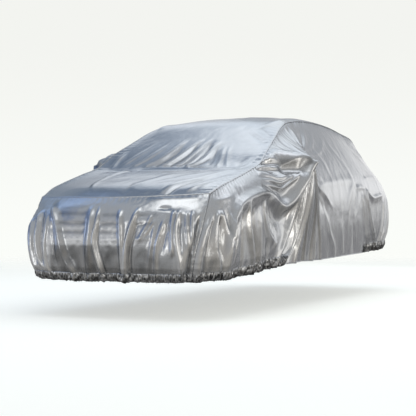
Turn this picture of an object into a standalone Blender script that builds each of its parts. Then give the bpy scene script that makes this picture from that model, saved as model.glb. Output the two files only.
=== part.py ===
"""Fitted car cover of silver cloth in its draped form, hollow inside.

Five sewn panels: a long one on top, from the low front part up the slope to the crown, and
four that hang from its rim to the hem. The front faces -Y, the left side is +X, and +Z is up.
The tables give heights above the ground. The origin is on the underside of the crown, so the
ground lies ROOF_HEIGHT below it.
"""
import bpy
import numpy as np

# ------------------------------------------------------------------ driving sizes, in metres
CLOTH = 0.002             # thickness of the cloth
SEAM_GAP = 0.0003         # clear gap between two panels at a sewn seam
ROOF_HEIGHT = 1.748       # underside of the crown, above the ground

# The top panel: one row for each cross-section, from its front edge to its rear edge.
# mid_* is on the centre line and edge_* on the seam of the left side. crown is the
# exponent of the cross-section: 2 is an arc, more is flatter with rounder shoulders.
TOP_COLUMNS = ("mid_y", "mid_z", "edge_x", "edge_y", "edge_z", "crown")
TOP_SECTIONS = (
    (-2.220, 0.955, 0.800, -2.020, 0.985, 2.0),   # front edge
    (-2.110, 1.025, 0.815, -1.910, 1.030, 2.2),
    (-1.680, 1.125, 0.822, -1.650, 1.102, 2.6),   # middle of the low front part
    (-1.330, 1.192, 0.822, -1.320, 1.190, 2.8),
    (-1.080, 1.236, 0.800, -1.060, 1.262, 2.4),   # foot of the slope
    (-0.870, 1.362, 0.778, -0.880, 1.362, 2.4),
    (-0.620, 1.512, 0.735, -0.650, 1.470, 2.6),
    (-0.330, 1.668, 0.672, -0.330, 1.600, 2.8),   # head of the slope
    (0.000, 1.748, 0.625, 0.000, 1.668, 3.0),
    (0.700, 1.765, 0.612, 0.700, 1.700, 3.2),     # middle of the crown
    (1.450, 1.735, 0.588, 1.450, 1.655, 3.2),
    (2.010, 1.655, 0.550, 1.980, 1.580, 3.0),
    (2.190, 1.540, 0.530, 2.120, 1.510, 2.2),     # rear edge
)

# The skirt: one row for each column, from the middle of the front, round the left side,
# to the middle of the rear. girth is the distance round the skirt from the front's middle, and
# rim_y is where a side column hangs from the seam. Then come x, y and z at four levels.
SKIRT_COLUMNS = ("girth", "rim_y",
                 "shoulder_x", "shoulder_y", "shoulder_z", "belt_x", "belt_y", "belt_z",
                 "sill_x", "sill_y", "sill_z", "hem_x", "hem_y", "hem_z")
SKIRT_SECTIONS = (
    # middle of the front
    (0.00, -2.02, 0.000, -2.300, 0.860, 0.000, -2.350, 0.700, 0.000, -2.355, 0.500, 0.000, -2.310, 0.295),
    (0.45, -2.02, 0.430, -2.270, 0.862, 0.432, -2.325, 0.700, 0.430, -2.335, 0.500, 0.420, -2.300, 0.295),
    # front corner seam
    (0.86, -2.02, 0.815, -2.110, 0.865, 0.815, -2.195, 0.700, 0.780, -2.240, 0.500, 0.745, -2.225, 0.300),
    (1.03, -1.91, 0.875, -1.975, 0.910, 0.895, -2.030, 0.710, 0.880, -2.080, 0.510, 0.845, -2.090, 0.308),
    (1.39, -1.65, 0.905, -1.690, 1.000, 0.943, -1.710, 0.780, 0.948, -1.740, 0.560, 0.930, -1.760, 0.326),
    (1.77, -1.32, 0.905, -1.340, 1.090, 0.950, -1.360, 0.860, 0.955, -1.370, 0.600, 0.936, -1.380, 0.350),
    # foot of the slope
    (2.04, -1.06, 0.898, -1.070, 1.130, 0.950, -1.080, 0.900, 0.956, -1.090, 0.640, 0.937, -1.100, 0.370),
    (2.26, -0.88, 0.872, -0.880, 1.190, 0.948, -0.880, 0.930, 0.956, -0.880, 0.660, 0.937, -0.880, 0.390),
    (2.49, -0.65, 0.848, -0.650, 1.250, 0.945, -0.650, 0.970, 0.956, -0.650, 0.690, 0.937, -0.650, 0.402),
    # head of the slope
    (2.81, -0.33, 0.825, -0.330, 1.320, 0.941, -0.330, 1.020, 0.956, -0.330, 0.710, 0.936, -0.330, 0.406),
    (3.14, 0.00, 0.803, 0.000, 1.380, 0.936, 0.000, 1.060, 0.955, 0.000, 0.730, 0.935, 0.000, 0.408),
    (3.84, 0.70, 0.786, 0.700, 1.420, 0.925, 0.700, 1.100, 0.950, 0.700, 0.760, 0.930, 0.700, 0.424),
    (4.62, 1.45, 0.755, 1.470, 1.400, 0.910, 1.500, 1.120, 0.940, 1.520, 0.790, 0.915, 1.480, 0.440),
    (5.20, 1.98, 0.695, 2.000, 1.360, 0.860, 2.060, 1.100, 0.900, 2.080, 0.780, 0.875, 2.030, 0.455),
    # rear corner seam
    (5.45, 2.12, 0.640, 2.210, 1.300, 0.785, 2.290, 1.050, 0.835, 2.300, 0.750, 0.795, 2.245, 0.468),
    (5.85, 2.12, 0.340, 2.300, 1.300, 0.420, 2.390, 1.050, 0.440, 2.400, 0.750, 0.420, 2.340, 0.470),
    # middle of the rear
    (6.25, 2.12, 0.000, 2.315, 1.300, 0.000, 2.410, 1.050, 0.000, 2.420, 0.750, 0.000, 2.360, 0.470),
)
FRONT_SEAM = 0.86         # girth at the front corner seam
REAR_SEAM = 5.45          # girth at the rear corner seam
REAR_MIDDLE = 6.25        # girth at the middle of the rear
LEVEL_DROPS = (0.0, 0.18, 0.45, 0.74, 1.0)   # rim, shoulder, belt, sill and hem

# On each side the cloth stands out in a tent with one pointed tip.
MIRROR_GIRTH = 2.57       # girth at the tip
MIRROR_HEIGHT = 1.29      # height of the tip above the ground
MIRROR_PUSH = 0.235       # how far the tip stands out from the plain skirt
TENT_ROUND = 0.04         # share of the reach over which the point is rounded
# How far the tent reaches from its tip: bearing is 0 to the rear, 90 up and 180 to the
# front. power is 1 where the cloth is drawn straight to the seam, more where it hangs hollow.
TENT_COLUMNS = ("bearing", "reach", "power")
TENT_REACHES = (
    (0, 0.42, 1.6),
    (30, 0.62, 1.3),
    (45, 0.40, 1.1),
    (60, 0.28, 1.0),
    (90, 0.20, 1.0),
    (120, 0.19, 1.0),
    (150, 0.24, 1.0),
    (170, 0.38, 1.2),
    (190, 0.54, 1.5),
    (225, 0.72, 1.7),
    (270, 0.90, 1.7),
    (315, 0.68, 1.8),
    (360, 0.42, 1.6),
)

# The right front corner hangs slacker than the left one and lies further in.
SLACK_GIRTH = -1.00       # girth at the middle of the slack
SLACK_HALF_WIDTH = 0.32
SLACK_DRAW_IN = 0.055     # how far the cloth lies in there
SLACK_HEM_DRAW_IN = 0.035 # and how much further at the hem

# The main folds, one row each: height of the ridge (below 0 for a trough), half width at its
# start and at its end, and a few points of its line. A line that runs past the hem keeps the
# fold open there.
# Folds of both sides: points are (girth, height above the ground).
SIDE_FOLDS = (
    # from beside the slope's foot to the tent's tip
    (0.030, 0.050, 0.050, ((2.15, 1.34), (2.30, 1.34), (2.45, 1.32), (2.64, 1.29))),
    # the swag that hangs from the tent's tip and rises again to the front, and its hollow
    (0.045, 0.060, 0.060, ((2.52, 1.28), (2.41, 1.12), (2.31, 0.97), (2.18, 0.89), (2.05, 0.93),
                           (1.90, 0.99), (1.66, 0.98), (1.48, 0.94), (1.34, 0.89), (1.22, 0.78),
                           (1.16, 0.60), (1.14, 0.30))),
    (-0.030, 0.070, 0.080, ((2.36, 0.90), (2.22, 0.79), (2.06, 0.78), (1.88, 0.87))),
    # two crescents between the tent's tip and the foot of the slope
    (0.024, 0.030, 0.030, ((1.84, 1.12), (1.98, 1.06), (2.11, 1.04), (2.22, 1.07), (2.34, 1.14),
                           (2.52, 1.28))),
    (0.020, 0.028, 0.028, ((1.94, 1.26), (2.05, 1.17), (2.15, 1.14), (2.28, 1.17), (2.42, 1.24))),
    # the cone of folds that falls from the tent's tip to the hem
    (0.030, 0.030, 0.060, ((2.47, 1.24), (2.40, 1.02), (2.33, 0.88), (2.20, 0.70), (2.08, 0.49),
                           (2.00, 0.26))),
    (0.028, 0.030, 0.050, ((2.52, 1.24), (2.47, 0.95), (2.43, 0.72), (2.35, 0.56), (2.25, 0.42),
                           (2.14, 0.22))),
    (0.028, 0.030, 0.050, ((2.58, 1.24), (2.54, 0.95), (2.52, 0.76), (2.47, 0.55), (2.44, 0.22))),
    (-0.026, 0.040, 0.055, ((2.68, 1.26), (2.68, 0.95), (2.68, 0.70), (2.68, 0.20))),
    (0.022, 0.040, 0.070, ((2.76, 1.24), (2.86, 0.95), (2.92, 0.70), (2.96, 0.20))),
    # the folds under the swag's front part
    (0.025, 0.035, 0.045, ((1.33, 0.87), (1.28, 0.74), (1.25, 0.55), (1.24, 0.20))),
    (0.028, 0.035, 0.045, ((1.46, 0.93), (1.48, 0.75), (1.51, 0.60), (1.52, 0.20))),
    (0.020, 0.045, 0.050, ((1.72, 0.94), (1.73, 0.70), (1.75, 0.50), (1.75, 0.20))),
    (-0.020, 0.040, 0.050, ((1.38, 0.88), (1.38, 0.70), (1.38, 0.50), (1.38, 0.20))),
    # round the front corner
    (0.020, 0.035, 0.045, ((0.98, 0.84), (0.98, 0.66), (0.99, 0.45), (1.00, 0.20))),
    (0.022, 0.035, 0.045, ((1.08, 0.84), (1.10, 0.66), (1.11, 0.45), (1.12, 0.20))),
    # the level line along the side, and the two folds that meet low at its rear
    (0.014, 0.040, 0.040, ((3.02, 1.10), (3.50, 1.14), (4.00, 1.15), (4.35, 1.14))),
    (0.024, 0.040, 0.055, ((4.18, 1.10), (4.30, 0.92), (4.50, 0.72), (4.68, 0.52), (4.80, 0.25))),
    (0.022, 0.040, 0.055, ((5.18, 1.08), (5.08, 0.85), (4.96, 0.66), (4.86, 0.50), (4.76, 0.25))),
)
# Folds of the front: points are (girth, height above the ground), minus on the right.
FRONT_FOLDS = (
    (0.030, 0.040, 0.050, ((-0.62, 0.90), (-0.62, 0.70), (-0.58, 0.50), (-0.50, 0.36), (-0.42, 0.22))),
    (-0.026, 0.035, 0.040, ((-0.70, 0.86), (-0.70, 0.62), (-0.66, 0.46), (-0.58, 0.22))),
    (0.030, 0.035, 0.035, ((-0.44, 0.95), (-0.42, 0.75), (-0.40, 0.60), (-0.36, 0.48), (-0.26, 0.26))),
    (0.034, 0.050, 0.055, ((-0.08, 0.92), (-0.08, 0.70), (-0.08, 0.50), (-0.06, 0.20))),
    (0.028, 0.035, 0.040, ((0.20, 0.90), (0.19, 0.65), (0.19, 0.40), (0.19, 0.20))),
    (0.032, 0.035, 0.035, ((0.37, 0.88), (0.33, 0.75), (0.29, 0.60), (0.26, 0.40), (0.25, 0.20))),
    (-0.022, 0.040, 0.040, ((0.44, 0.78), (0.36, 0.58), (0.34, 0.40), (0.34, 0.20))),
    (0.024, 0.040, 0.045, ((0.54, 0.76), (0.51, 0.55), (0.49, 0.35), (0.48, 0.20))),
    (0.034, 0.040, 0.045, ((0.62, 0.88), (0.63, 0.68), (0.66, 0.53), (0.72, 0.40), (0.80, 0.24))),
    (0.024, 0.030, 0.030, ((0.74, 0.84), (0.77, 0.66), (0.79, 0.50), (0.80, 0.34))),
)
# Folds of the top panel: points are (x, y).
TOP_FOLDS = (
    # the low front part's two long rises and the crease beside the left one
    (0.014, 0.050, 0.070, ((0.30, -2.20), (0.40, -1.88), (0.52, -1.60), (0.64, -1.22))),
    (-0.010, 0.030, 0.035, ((0.42, -2.20), (0.50, -1.92), (0.60, -1.68), (0.74, -1.38))),
    (0.014, 0.050, 0.070, ((-0.34, -2.20), (-0.44, -1.88), (-0.54, -1.60), (-0.64, -1.22))),
    # the trough where the cloth bridges the foot of the slope
    (-0.010, 0.045, 0.045, ((-0.78, -1.02), (-0.40, -1.10), (0.00, -1.13), (0.40, -1.10), (0.78, -1.02))),
    # slanting folds up the slope
    (0.014, 0.030, 0.040, ((-0.34, -1.08), (-0.22, -0.88), (-0.16, -0.70), (-0.12, -0.50))),
    (0.016, 0.030, 0.040, ((-0.12, -1.08), (-0.05, -0.86), (-0.02, -0.68), (0.00, -0.48))),
    (0.016, 0.030, 0.040, ((0.10, -1.08), (0.17, -0.88), (0.19, -0.70), (0.19, -0.50))),
    (0.012, 0.030, 0.035, ((0.26, -1.06), (0.30, -0.88), (0.30, -0.70), (0.29, -0.54))),
    # the crown's two long shoulders
    (0.008, 0.035, 0.035, ((0.54, -0.20), (0.54, 0.60), (0.52, 1.40), (0.50, 2.00))),
    (0.008, 0.035, 0.035, ((-0.54, -0.20), (-0.54, 0.60), (-0.52, 1.40), (-0.50, 2.00))),
)
LINE_STEPS = 24           # straight steps that a fold's line is measured against
END_FADE = 0.6            # how fast a fold's height fades to its ends: less is faster
RIM_EASE = 0.12           # share of the drop over which the skirt's folds rise from the rim
SEAM_EASE = 0.05          # girth over which they rise from a corner seam
EDGE_EASE_ACROSS = 0.06   # share of the half width over which the top's folds rise from a seam
EDGE_EASE_ALONG = 0.05    # the same from its front and rear edges, in metres

# The hem's elastic gathers the front with the first part of each side, and the rear.
GATHER_FRONT_END = 2.24   # girth where the front gather runs out
GATHER_REAR_START = 4.40  # girth where the rear gather begins
GATHER_EASE = 0.03        # girth over which a gather runs out
GATHER_TOP_DROP = 0.86    # share of the drop where the elastic begins to draw the cloth in
HEM_DRAW_IN = 0.022       # how far the elastic draws the hem in
RUFFLE_DEPTH = 0.007      # half depth of the hem's ruffles
RUFFLE_PITCH = 0.172      # girth from ruffle to ruffle

# The grids, which share their points along every seam. The front and side panels have two
# cells for each cell of the top panel beside them.
ACROSS_CELLS = 20         # cells across the top and rear panels
SIDE_CELLS = 33           # cells along the top panel's side
SIDE_SPREAD_SHARE = (0.0, 0.50, 0.68, 1.0)    # share of a side's cells ...
SIDE_SPREAD_GIRTH = (0.86, 2.30, 2.95, 5.45)  # ... that lie before this girth
DROPS = (0.0, 0.06, 0.12, 0.18, 0.235, 0.29, 0.34, 0.39, 0.44, 0.49, 0.54, 0.60, 0.66, 0.72,
         0.79, 0.86, 0.93, 1.0)


# ------------------------------------------------------------------ curves through a table
def table(rows, names):
    """The rows of a table as one array for each named column."""
    return dict(zip(names, np.array(rows, dtype=float).T))


def curve(stations, values, where):
    """A smooth curve through the values at the stations, read at where.

    Cubic pieces whose slope at each station is the mean of the two neighbouring slopes,
    weighted towards the shorter piece.
    """
    stations = np.asarray(stations, dtype=float)
    values = np.asarray(values, dtype=float)
    steps = np.diff(stations)
    slopes = np.diff(values) / steps
    knots = np.empty(len(stations))
    knots[1:-1] = (slopes[:-1] * steps[1:] + slopes[1:] * steps[:-1]) / (steps[:-1] + steps[1:])
    knots[0] = slopes[0]
    knots[-1] = slopes[-1]
    where = np.clip(where, stations[0], stations[-1])
    piece = np.clip(np.searchsorted(stations, where, side="right") - 1, 0, len(steps) - 1)
    width = steps[piece]
    t = (where - stations[piece]) / width
    start = (2 * t**3 - 3 * t**2 + 1) * values[piece]
    end = (3 * t**2 - 2 * t**3) * values[piece + 1]
    leave = (t**3 - 2 * t**2 + t) * width * knots[piece]
    arrive = (t**3 - t**2) * width * knots[piece + 1]
    return start + end + leave + arrive


TOP = table(TOP_SECTIONS, TOP_COLUMNS)
SKIRT = table(SKIRT_SECTIONS, SKIRT_COLUMNS)
TENT = table(TENT_REACHES, TENT_COLUMNS)
FRONT_EDGE = TOP["edge_y"][0]
REAR_EDGE = TOP["edge_y"][-1]


# ------------------------------------------------------------------ the cloth's plain form
def top_point(across, along):
    """The top panel before its folds: across is -1 to 1, along the y of the side seam there.

    Each cross-section falls from the centre line to the seam with the power crown of across,
    and its y runs from the centre line's to the seam's with the square of across.
    """
    read = {name: curve(TOP["edge_y"], TOP[name], along) for name in TOP_COLUMNS}
    side = np.abs(across)
    x = across * read["edge_x"]
    y = read["mid_y"] + (along - read["mid_y"]) * side**2
    z = read["mid_z"] + (read["edge_z"] - read["mid_z"]) * side**read["crown"]
    return np.stack([x, y, z], axis=-1)


def seam_y(girth):
    """The y on the side seam that the skirt's column at this girth hangs from."""
    side = (SKIRT["girth"] >= FRONT_SEAM) & (SKIRT["girth"] <= REAR_SEAM)
    return curve(SKIRT["girth"][side], SKIRT["rim_y"][side], girth)


def rim_point(girth):
    """The point on the top panel's rim that the skirt's column hangs from, on the left side."""
    from_front = girth / FRONT_SEAM
    from_rear = (REAR_MIDDLE - girth) / (REAR_MIDDLE - REAR_SEAM)
    across = np.clip(np.minimum(from_front, from_rear), 0.0, 1.0)
    return top_point(across, seam_y(girth))


def skirt_point(girth, drop):
    """The skirt before its folds: girth is signed, positive on the left, drop is 0 at the rim
    and 1 at the hem.

    Each column is a smooth curve down through its points at the five levels.
    """
    hand = np.sign(girth) + (girth == 0)
    girth = np.abs(girth)
    levels = [rim_point(girth)]
    for level in ("shoulder", "belt", "sill", "hem"):
        columns = [curve_round(level + "_" + axis, girth) for axis in "xyz"]
        levels.append(np.stack(columns, axis=-1))
    levels = np.stack(levels, axis=0)
    points = down_curve(levels, drop)
    points[..., 0] *= hand
    return points


def curve_round(name, girth):
    """One column of the skirt's table, read as a smooth curve that is even about the front's
    and the rear's middle (odd for x)."""
    stations = SKIRT["girth"]
    values = SKIRT[name]
    sign = -1.0 if name.endswith("_x") else 1.0
    before = slice(2, 0, -1)
    after = slice(-2, -4, -1)
    stations = np.concatenate([-stations[before], stations, 2 * REAR_MIDDLE - stations[after]])
    values = np.concatenate([sign * values[before], values, sign * values[after]])
    return curve(stations, values, girth)


def down_curve(levels, drop):
    """The smooth curve through five level points, for arrays of columns, read at drop."""
    drops = np.array(LEVEL_DROPS)
    steps = np.diff(drops)
    shape = (-1,) + (1,) * (levels.ndim - 1)
    slopes = np.diff(levels, axis=0) / steps.reshape(shape)
    ahead = steps[1:].reshape(shape)
    behind = steps[:-1].reshape(shape)
    knots = np.empty_like(levels)
    knots[1:-1] = (slopes[:-1] * ahead + slopes[1:] * behind) / (ahead + behind)
    knots[0] = 1.5 * slopes[0] - 0.5 * knots[1]
    knots[-1] = slopes[-1]
    piece = np.clip(np.searchsorted(drops, drop, side="right") - 1, 0, len(steps) - 1)
    width = steps[piece][..., None]
    t = ((drop - drops[piece]) / steps[piece])[..., None]
    pick = lambda rows, at: np.take_along_axis(rows, at[None, ..., None], axis=0)[0]
    start = (2 * t**3 - 3 * t**2 + 1) * pick(levels, piece)
    end = (3 * t**2 - 2 * t**3) * pick(levels, piece + 1)
    leave = (t**3 - 2 * t**2 + t) * width * pick(knots, piece)
    arrive = (t**3 - t**2) * width * pick(knots, piece + 1)
    return start + end + leave + arrive


# ------------------------------------------------------------------ the folds
def mirror_tent(girth, height):
    """How far the tent stands out from the plain skirt, in metres.

    It falls from MIRROR_PUSH at the tip to nothing at the tent's reach on each
    bearing, as one less the distance's share of the reach, to that bearing's power.
    """
    along = np.abs(girth) - MIRROR_GIRTH
    above = height - MIRROR_HEIGHT
    bearing = np.degrees(np.arctan2(above, along)) % 360.0
    reach = curve(TENT["bearing"], TENT["reach"], bearing)
    power = curve(TENT["bearing"], TENT["power"], bearing)
    away = np.sqrt((np.hypot(along, above) / reach)**2 + TENT_ROUND**2) - TENT_ROUND
    return MIRROR_PUSH * np.clip(1.0 - away, 0.0, 1.0)**power


def slack_corner(girth, drop):
    """How far the right front corner lies in: a bell of the girth, deeper at the hem."""
    bell = np.exp(-((girth - SLACK_GIRTH) / SLACK_HALF_WIDTH)**2)
    return bell * (SLACK_DRAW_IN + SLACK_HEM_DRAW_IN * drop**4)


def fold_line(path):
    """A smooth line through a fold's few points, as LINE_STEPS + 1 points."""
    path = np.array(path, dtype=float)
    length = np.concatenate([[0.0], np.cumsum(np.linalg.norm(np.diff(path, axis=0), axis=1))])
    where = np.linspace(0.0, length[-1], LINE_STEPS + 1)
    return np.stack([curve(length, path[:, 0], where), curve(length, path[:, 1], where)], axis=-1)


def fold_heights(folds, first, second):
    """How far the folds lift the cloth at the places (first, second), in metres.

    Each fold's lift is a bell of the distance to its line. Its width runs from start_width
    to end_width along the line, and its height fades to nothing at both ends of the line.
    """
    lift = np.zeros(np.shape(first))
    for height, start_width, end_width, path in folds:
        line = fold_line(path)
        nearest = np.full(lift.shape, np.inf)
        share = np.zeros(lift.shape)
        for step in range(LINE_STEPS):
            start = line[step]
            run = line[step + 1] - start
            part = ((first - start[0]) * run[0] + (second - start[1]) * run[1]) / (run @ run)
            part = np.clip(part, 0.0, 1.0)
            away = np.hypot(first - start[0] - part * run[0], second - start[1] - part * run[1])
            closer = away < nearest
            nearest = np.where(closer, away, nearest)
            share = np.where(closer, (step + part) / LINE_STEPS, share)
        width = start_width + (end_width - start_width) * share
        fade = np.sin(np.pi * share)**END_FADE
        lift += height * fade * np.exp(-(nearest / width)**2)
    return lift


def hem_gather(girth, drop):
    """How far the elastic draws the hem in, and its ruffles, where the hem is gathered."""
    around = np.abs(girth)
    front = 1.0 / (1.0 + np.exp((around - GATHER_FRONT_END) / GATHER_EASE))
    rear = 1.0 / (1.0 + np.exp((GATHER_REAR_START - around) / GATHER_EASE))
    low = np.clip((drop - GATHER_TOP_DROP) / (1.0 - GATHER_TOP_DROP), 0.0, 1.0)
    ruffle = RUFFLE_DEPTH * np.cos(2.0 * np.pi * girth / RUFFLE_PITCH)
    return (front + rear) * low * (ruffle - HEM_DRAW_IN)


# ------------------------------------------------------------------ the draped cloth
def facing(points):
    """The unit normals of a grid of points, first axis by second axis."""
    first = np.gradient(points, axis=0)
    second = np.gradient(points, axis=1)
    normals = np.cross(first, second)
    return normals / np.linalg.norm(normals, axis=-1, keepdims=True)


def skirt_grid(girths, drops):
    """The draped skirt, all the way round: the plain form with its folds and tents."""
    girth, drop = np.meshgrid(girths, drops, indexing="ij")
    points = skirt_point(girth, drop)
    height = points[..., 2]
    outward = -facing(points)
    from_rim = np.clip(drop / RIM_EASE, 0.0, 1.0)
    around = np.abs(girth)
    seam_distance = np.minimum(np.abs(around - FRONT_SEAM), np.abs(around - REAR_SEAM))
    from_seam = np.clip(seam_distance / SEAM_EASE, 0.0, 1.0)
    lift = fold_heights(FRONT_FOLDS, girth, height) + fold_heights(SIDE_FOLDS, around, height)
    lift = from_rim * (from_seam * lift - slack_corner(girth, drop)) + hem_gather(girth, drop)
    points = points + lift[..., None] * outward
    points[..., 0] += from_rim * mirror_tent(girth, height) * np.sign(girth)
    middle = 0.5 * (points[0] + points[-1])
    points[0] = middle
    points[-1] = middle
    return points


def top_grid(acrosses, alongs):
    """The draped top panel on a grid: the plain form, lifted by its folds."""
    across, along = np.meshgrid(acrosses, alongs, indexing="ij")
    points = top_point(across, along)
    upward = facing(points)
    edge = np.minimum((1.0 - np.abs(across)) / EDGE_EASE_ACROSS, (along - FRONT_EDGE) / EDGE_EASE_ALONG)
    edge = np.minimum(edge, (REAR_EDGE - along) / EDGE_EASE_ALONG)
    lift = np.clip(edge, 0.0, 1.0) * fold_heights(TOP_FOLDS, points[..., 0], points[..., 1])
    return points + lift[..., None] * upward


def trim(points, sides):
    """Draws the named sides of a grid in by half the seam gap, towards their neighbours."""
    points = points.copy()
    for side in sides:
        if side == "first":
            border, inner = points[0], points[1]
        elif side == "last":
            border, inner = points[-1], points[-2]
        elif side == "top":
            border, inner = points[:, 0], points[:, 1]
        else:
            border, inner = points[:, -1], points[:, -2]
        run = inner - border
        border += 0.5 * SEAM_GAP * run / np.linalg.norm(run, axis=-1, keepdims=True)
    return points


# ------------------------------------------------------------------ meshes
def cloth_material():
    """Silver satin film: a woven polyester with a bright metallic coat."""
    material = bpy.data.materials.new("silver_film_cloth")
    material.use_nodes = True
    shader = material.node_tree.nodes["Principled BSDF"]
    shader.inputs["Base Color"].default_value = (0.42, 0.45, 0.49, 1.0)
    shader.inputs["Metallic"].default_value = 0.85
    shader.inputs["Roughness"].default_value = 0.32
    return material


def panel(name, points, outside_up):
    """A panel of cloth: one face for each cell of the grid, thickened outwards."""
    points = points - np.array([0.0, 0.0, ROOF_HEIGHT])
    columns, rows = points.shape[:2]
    index = np.arange(columns * rows).reshape(columns, rows)
    corners = [index[:-1, :-1], index[1:, :-1], index[1:, 1:], index[:-1, 1:]]
    if not outside_up:
        corners.reverse()
    faces = np.stack(corners, axis=-1).reshape(-1, 4)
    mesh = bpy.data.meshes.new(name)
    mesh.from_pydata(points.reshape(-1, 3).tolist(), [], faces.tolist())
    mesh.shade_smooth()
    mesh.materials.append(cloth_material())
    sheet = bpy.data.objects.new(name, mesh)
    bpy.context.scene.collection.objects.link(sheet)
    solidify = sheet.modifiers.new("thickness", "SOLIDIFY")
    solidify.thickness = CLOTH
    solidify.offset = 1.0
    return sheet


def halved(stations):
    """The stations with one more halfway between each two."""
    finer = np.empty(2 * len(stations) - 1)
    finer[0::2] = stations
    finer[1::2] = 0.5 * (stations[1:] + stations[:-1])
    return finer


def main():
    """Builds the five panels on grids that share their points along every seam."""
    for leftover in list(bpy.data.objects):
        bpy.data.objects.remove(leftover, do_unlink=True)
    across = np.linspace(-1.0, 1.0, ACROSS_CELLS + 1)
    side = np.interp(np.linspace(0.0, 1.0, SIDE_CELLS + 1), SIDE_SPREAD_SHARE, SIDE_SPREAD_GIRTH)
    rear = REAR_MIDDLE - (REAR_MIDDLE - REAR_SEAM) * across[ACROSS_CELLS // 2:][::-1]

    top = top_grid(across, seam_y(side))
    panel("top_panel", trim(top, ("first", "last", "top", "bottom")), True)

    half_ring = np.concatenate([halved(side)[1:], rear[1:]])
    front = halved(across) * FRONT_SEAM
    skirt = skirt_grid(np.concatenate([-half_ring[::-1], front, half_ring]), np.array(DROPS))
    cells = (len(rear) - 1, 2 * SIDE_CELLS, 2 * ACROSS_CELLS, 2 * SIDE_CELLS, len(rear) - 1)
    ends = np.cumsum((0,) + cells)
    rear_right, right, front, left, rear_left = (
        skirt[start:end + 1] for start, end in zip(ends[:-1], ends[1:]))
    for points in (right, front, left):
        points[1::2, 0] = 0.5 * (points[0:-1:2, 0] + points[2::2, 0])
    panels = (
        ("front_panel", front),
        ("left_side_panel", left),
        ("right_side_panel", right),
        ("rear_panel", np.concatenate([rear_left, rear_right[1:]])),
    )
    for name, points in panels:
        panel(name, trim(points, ("first", "last", "top")), False)


main()
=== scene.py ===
"""Draped car cover: the silver cloth, its seams and gathered hem, and a plain studio.

The frame's solids give the true size. Here each panel of cloth is made again as a thin sheet on
the same form, with its creases, seams and ruffles. The front faces -Y, the left side +X, and +Z
is up. The tables give heights above the ground, which lies ROOF_HEIGHT below the origin.
"""
import math

import bpy
import numpy as np
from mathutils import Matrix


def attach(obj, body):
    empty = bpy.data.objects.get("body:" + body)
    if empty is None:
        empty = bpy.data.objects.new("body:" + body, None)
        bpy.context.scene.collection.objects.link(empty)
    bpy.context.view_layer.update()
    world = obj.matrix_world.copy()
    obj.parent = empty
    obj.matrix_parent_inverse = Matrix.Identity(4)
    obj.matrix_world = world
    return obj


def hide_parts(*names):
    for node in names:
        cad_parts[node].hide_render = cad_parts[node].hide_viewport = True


bl_info = {
    "name": "Draped Car Cover",
    "version": (1, 0, 0),
    "blender": (4, 5, 0),
    "location": "3D View > Sidebar > Car Cover",
    "description": "Builds a fitted silver car cover with its seams, folds and gathered hem",
    "category": "Object",
}

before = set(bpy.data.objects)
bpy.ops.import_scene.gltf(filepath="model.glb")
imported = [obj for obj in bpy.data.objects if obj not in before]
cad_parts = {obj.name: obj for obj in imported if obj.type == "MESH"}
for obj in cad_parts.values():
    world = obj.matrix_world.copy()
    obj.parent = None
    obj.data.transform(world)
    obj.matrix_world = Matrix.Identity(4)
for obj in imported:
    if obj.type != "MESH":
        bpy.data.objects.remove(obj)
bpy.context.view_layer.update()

# ------------------------------------------------------------------ sizes of the form, in metres
ROOF_HEIGHT = 1.748       # the origin, under the cloth of the crown, above the ground

# The top panel, one row for each cross-section. mid_* is on the centre line, edge_* on the left
# seam. crown is the exponent of the cross-section: 2 is an arc, more is flatter.
TOP_COLUMNS = ("mid_y", "mid_z", "edge_x", "edge_y", "edge_z", "crown")
TOP_SECTIONS = (
    (-2.220, 0.955, 0.800, -2.020, 0.985, 2.0),
    (-2.110, 1.025, 0.815, -1.910, 1.030, 2.2),
    (-1.680, 1.125, 0.822, -1.650, 1.102, 2.6),
    (-1.330, 1.192, 0.822, -1.320, 1.190, 2.8),
    (-1.080, 1.236, 0.800, -1.060, 1.262, 2.4),
    (-0.870, 1.362, 0.778, -0.880, 1.362, 2.4),
    (-0.620, 1.512, 0.735, -0.650, 1.470, 2.6),
    (-0.330, 1.668, 0.672, -0.330, 1.600, 2.8),
    (0.000, 1.748, 0.625, 0.000, 1.668, 3.0),
    (0.700, 1.765, 0.612, 0.700, 1.700, 3.2),
    (1.450, 1.735, 0.588, 1.450, 1.655, 3.2),
    (2.010, 1.655, 0.550, 1.980, 1.580, 3.0),
    (2.190, 1.540, 0.530, 2.120, 1.510, 2.2),
)

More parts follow.
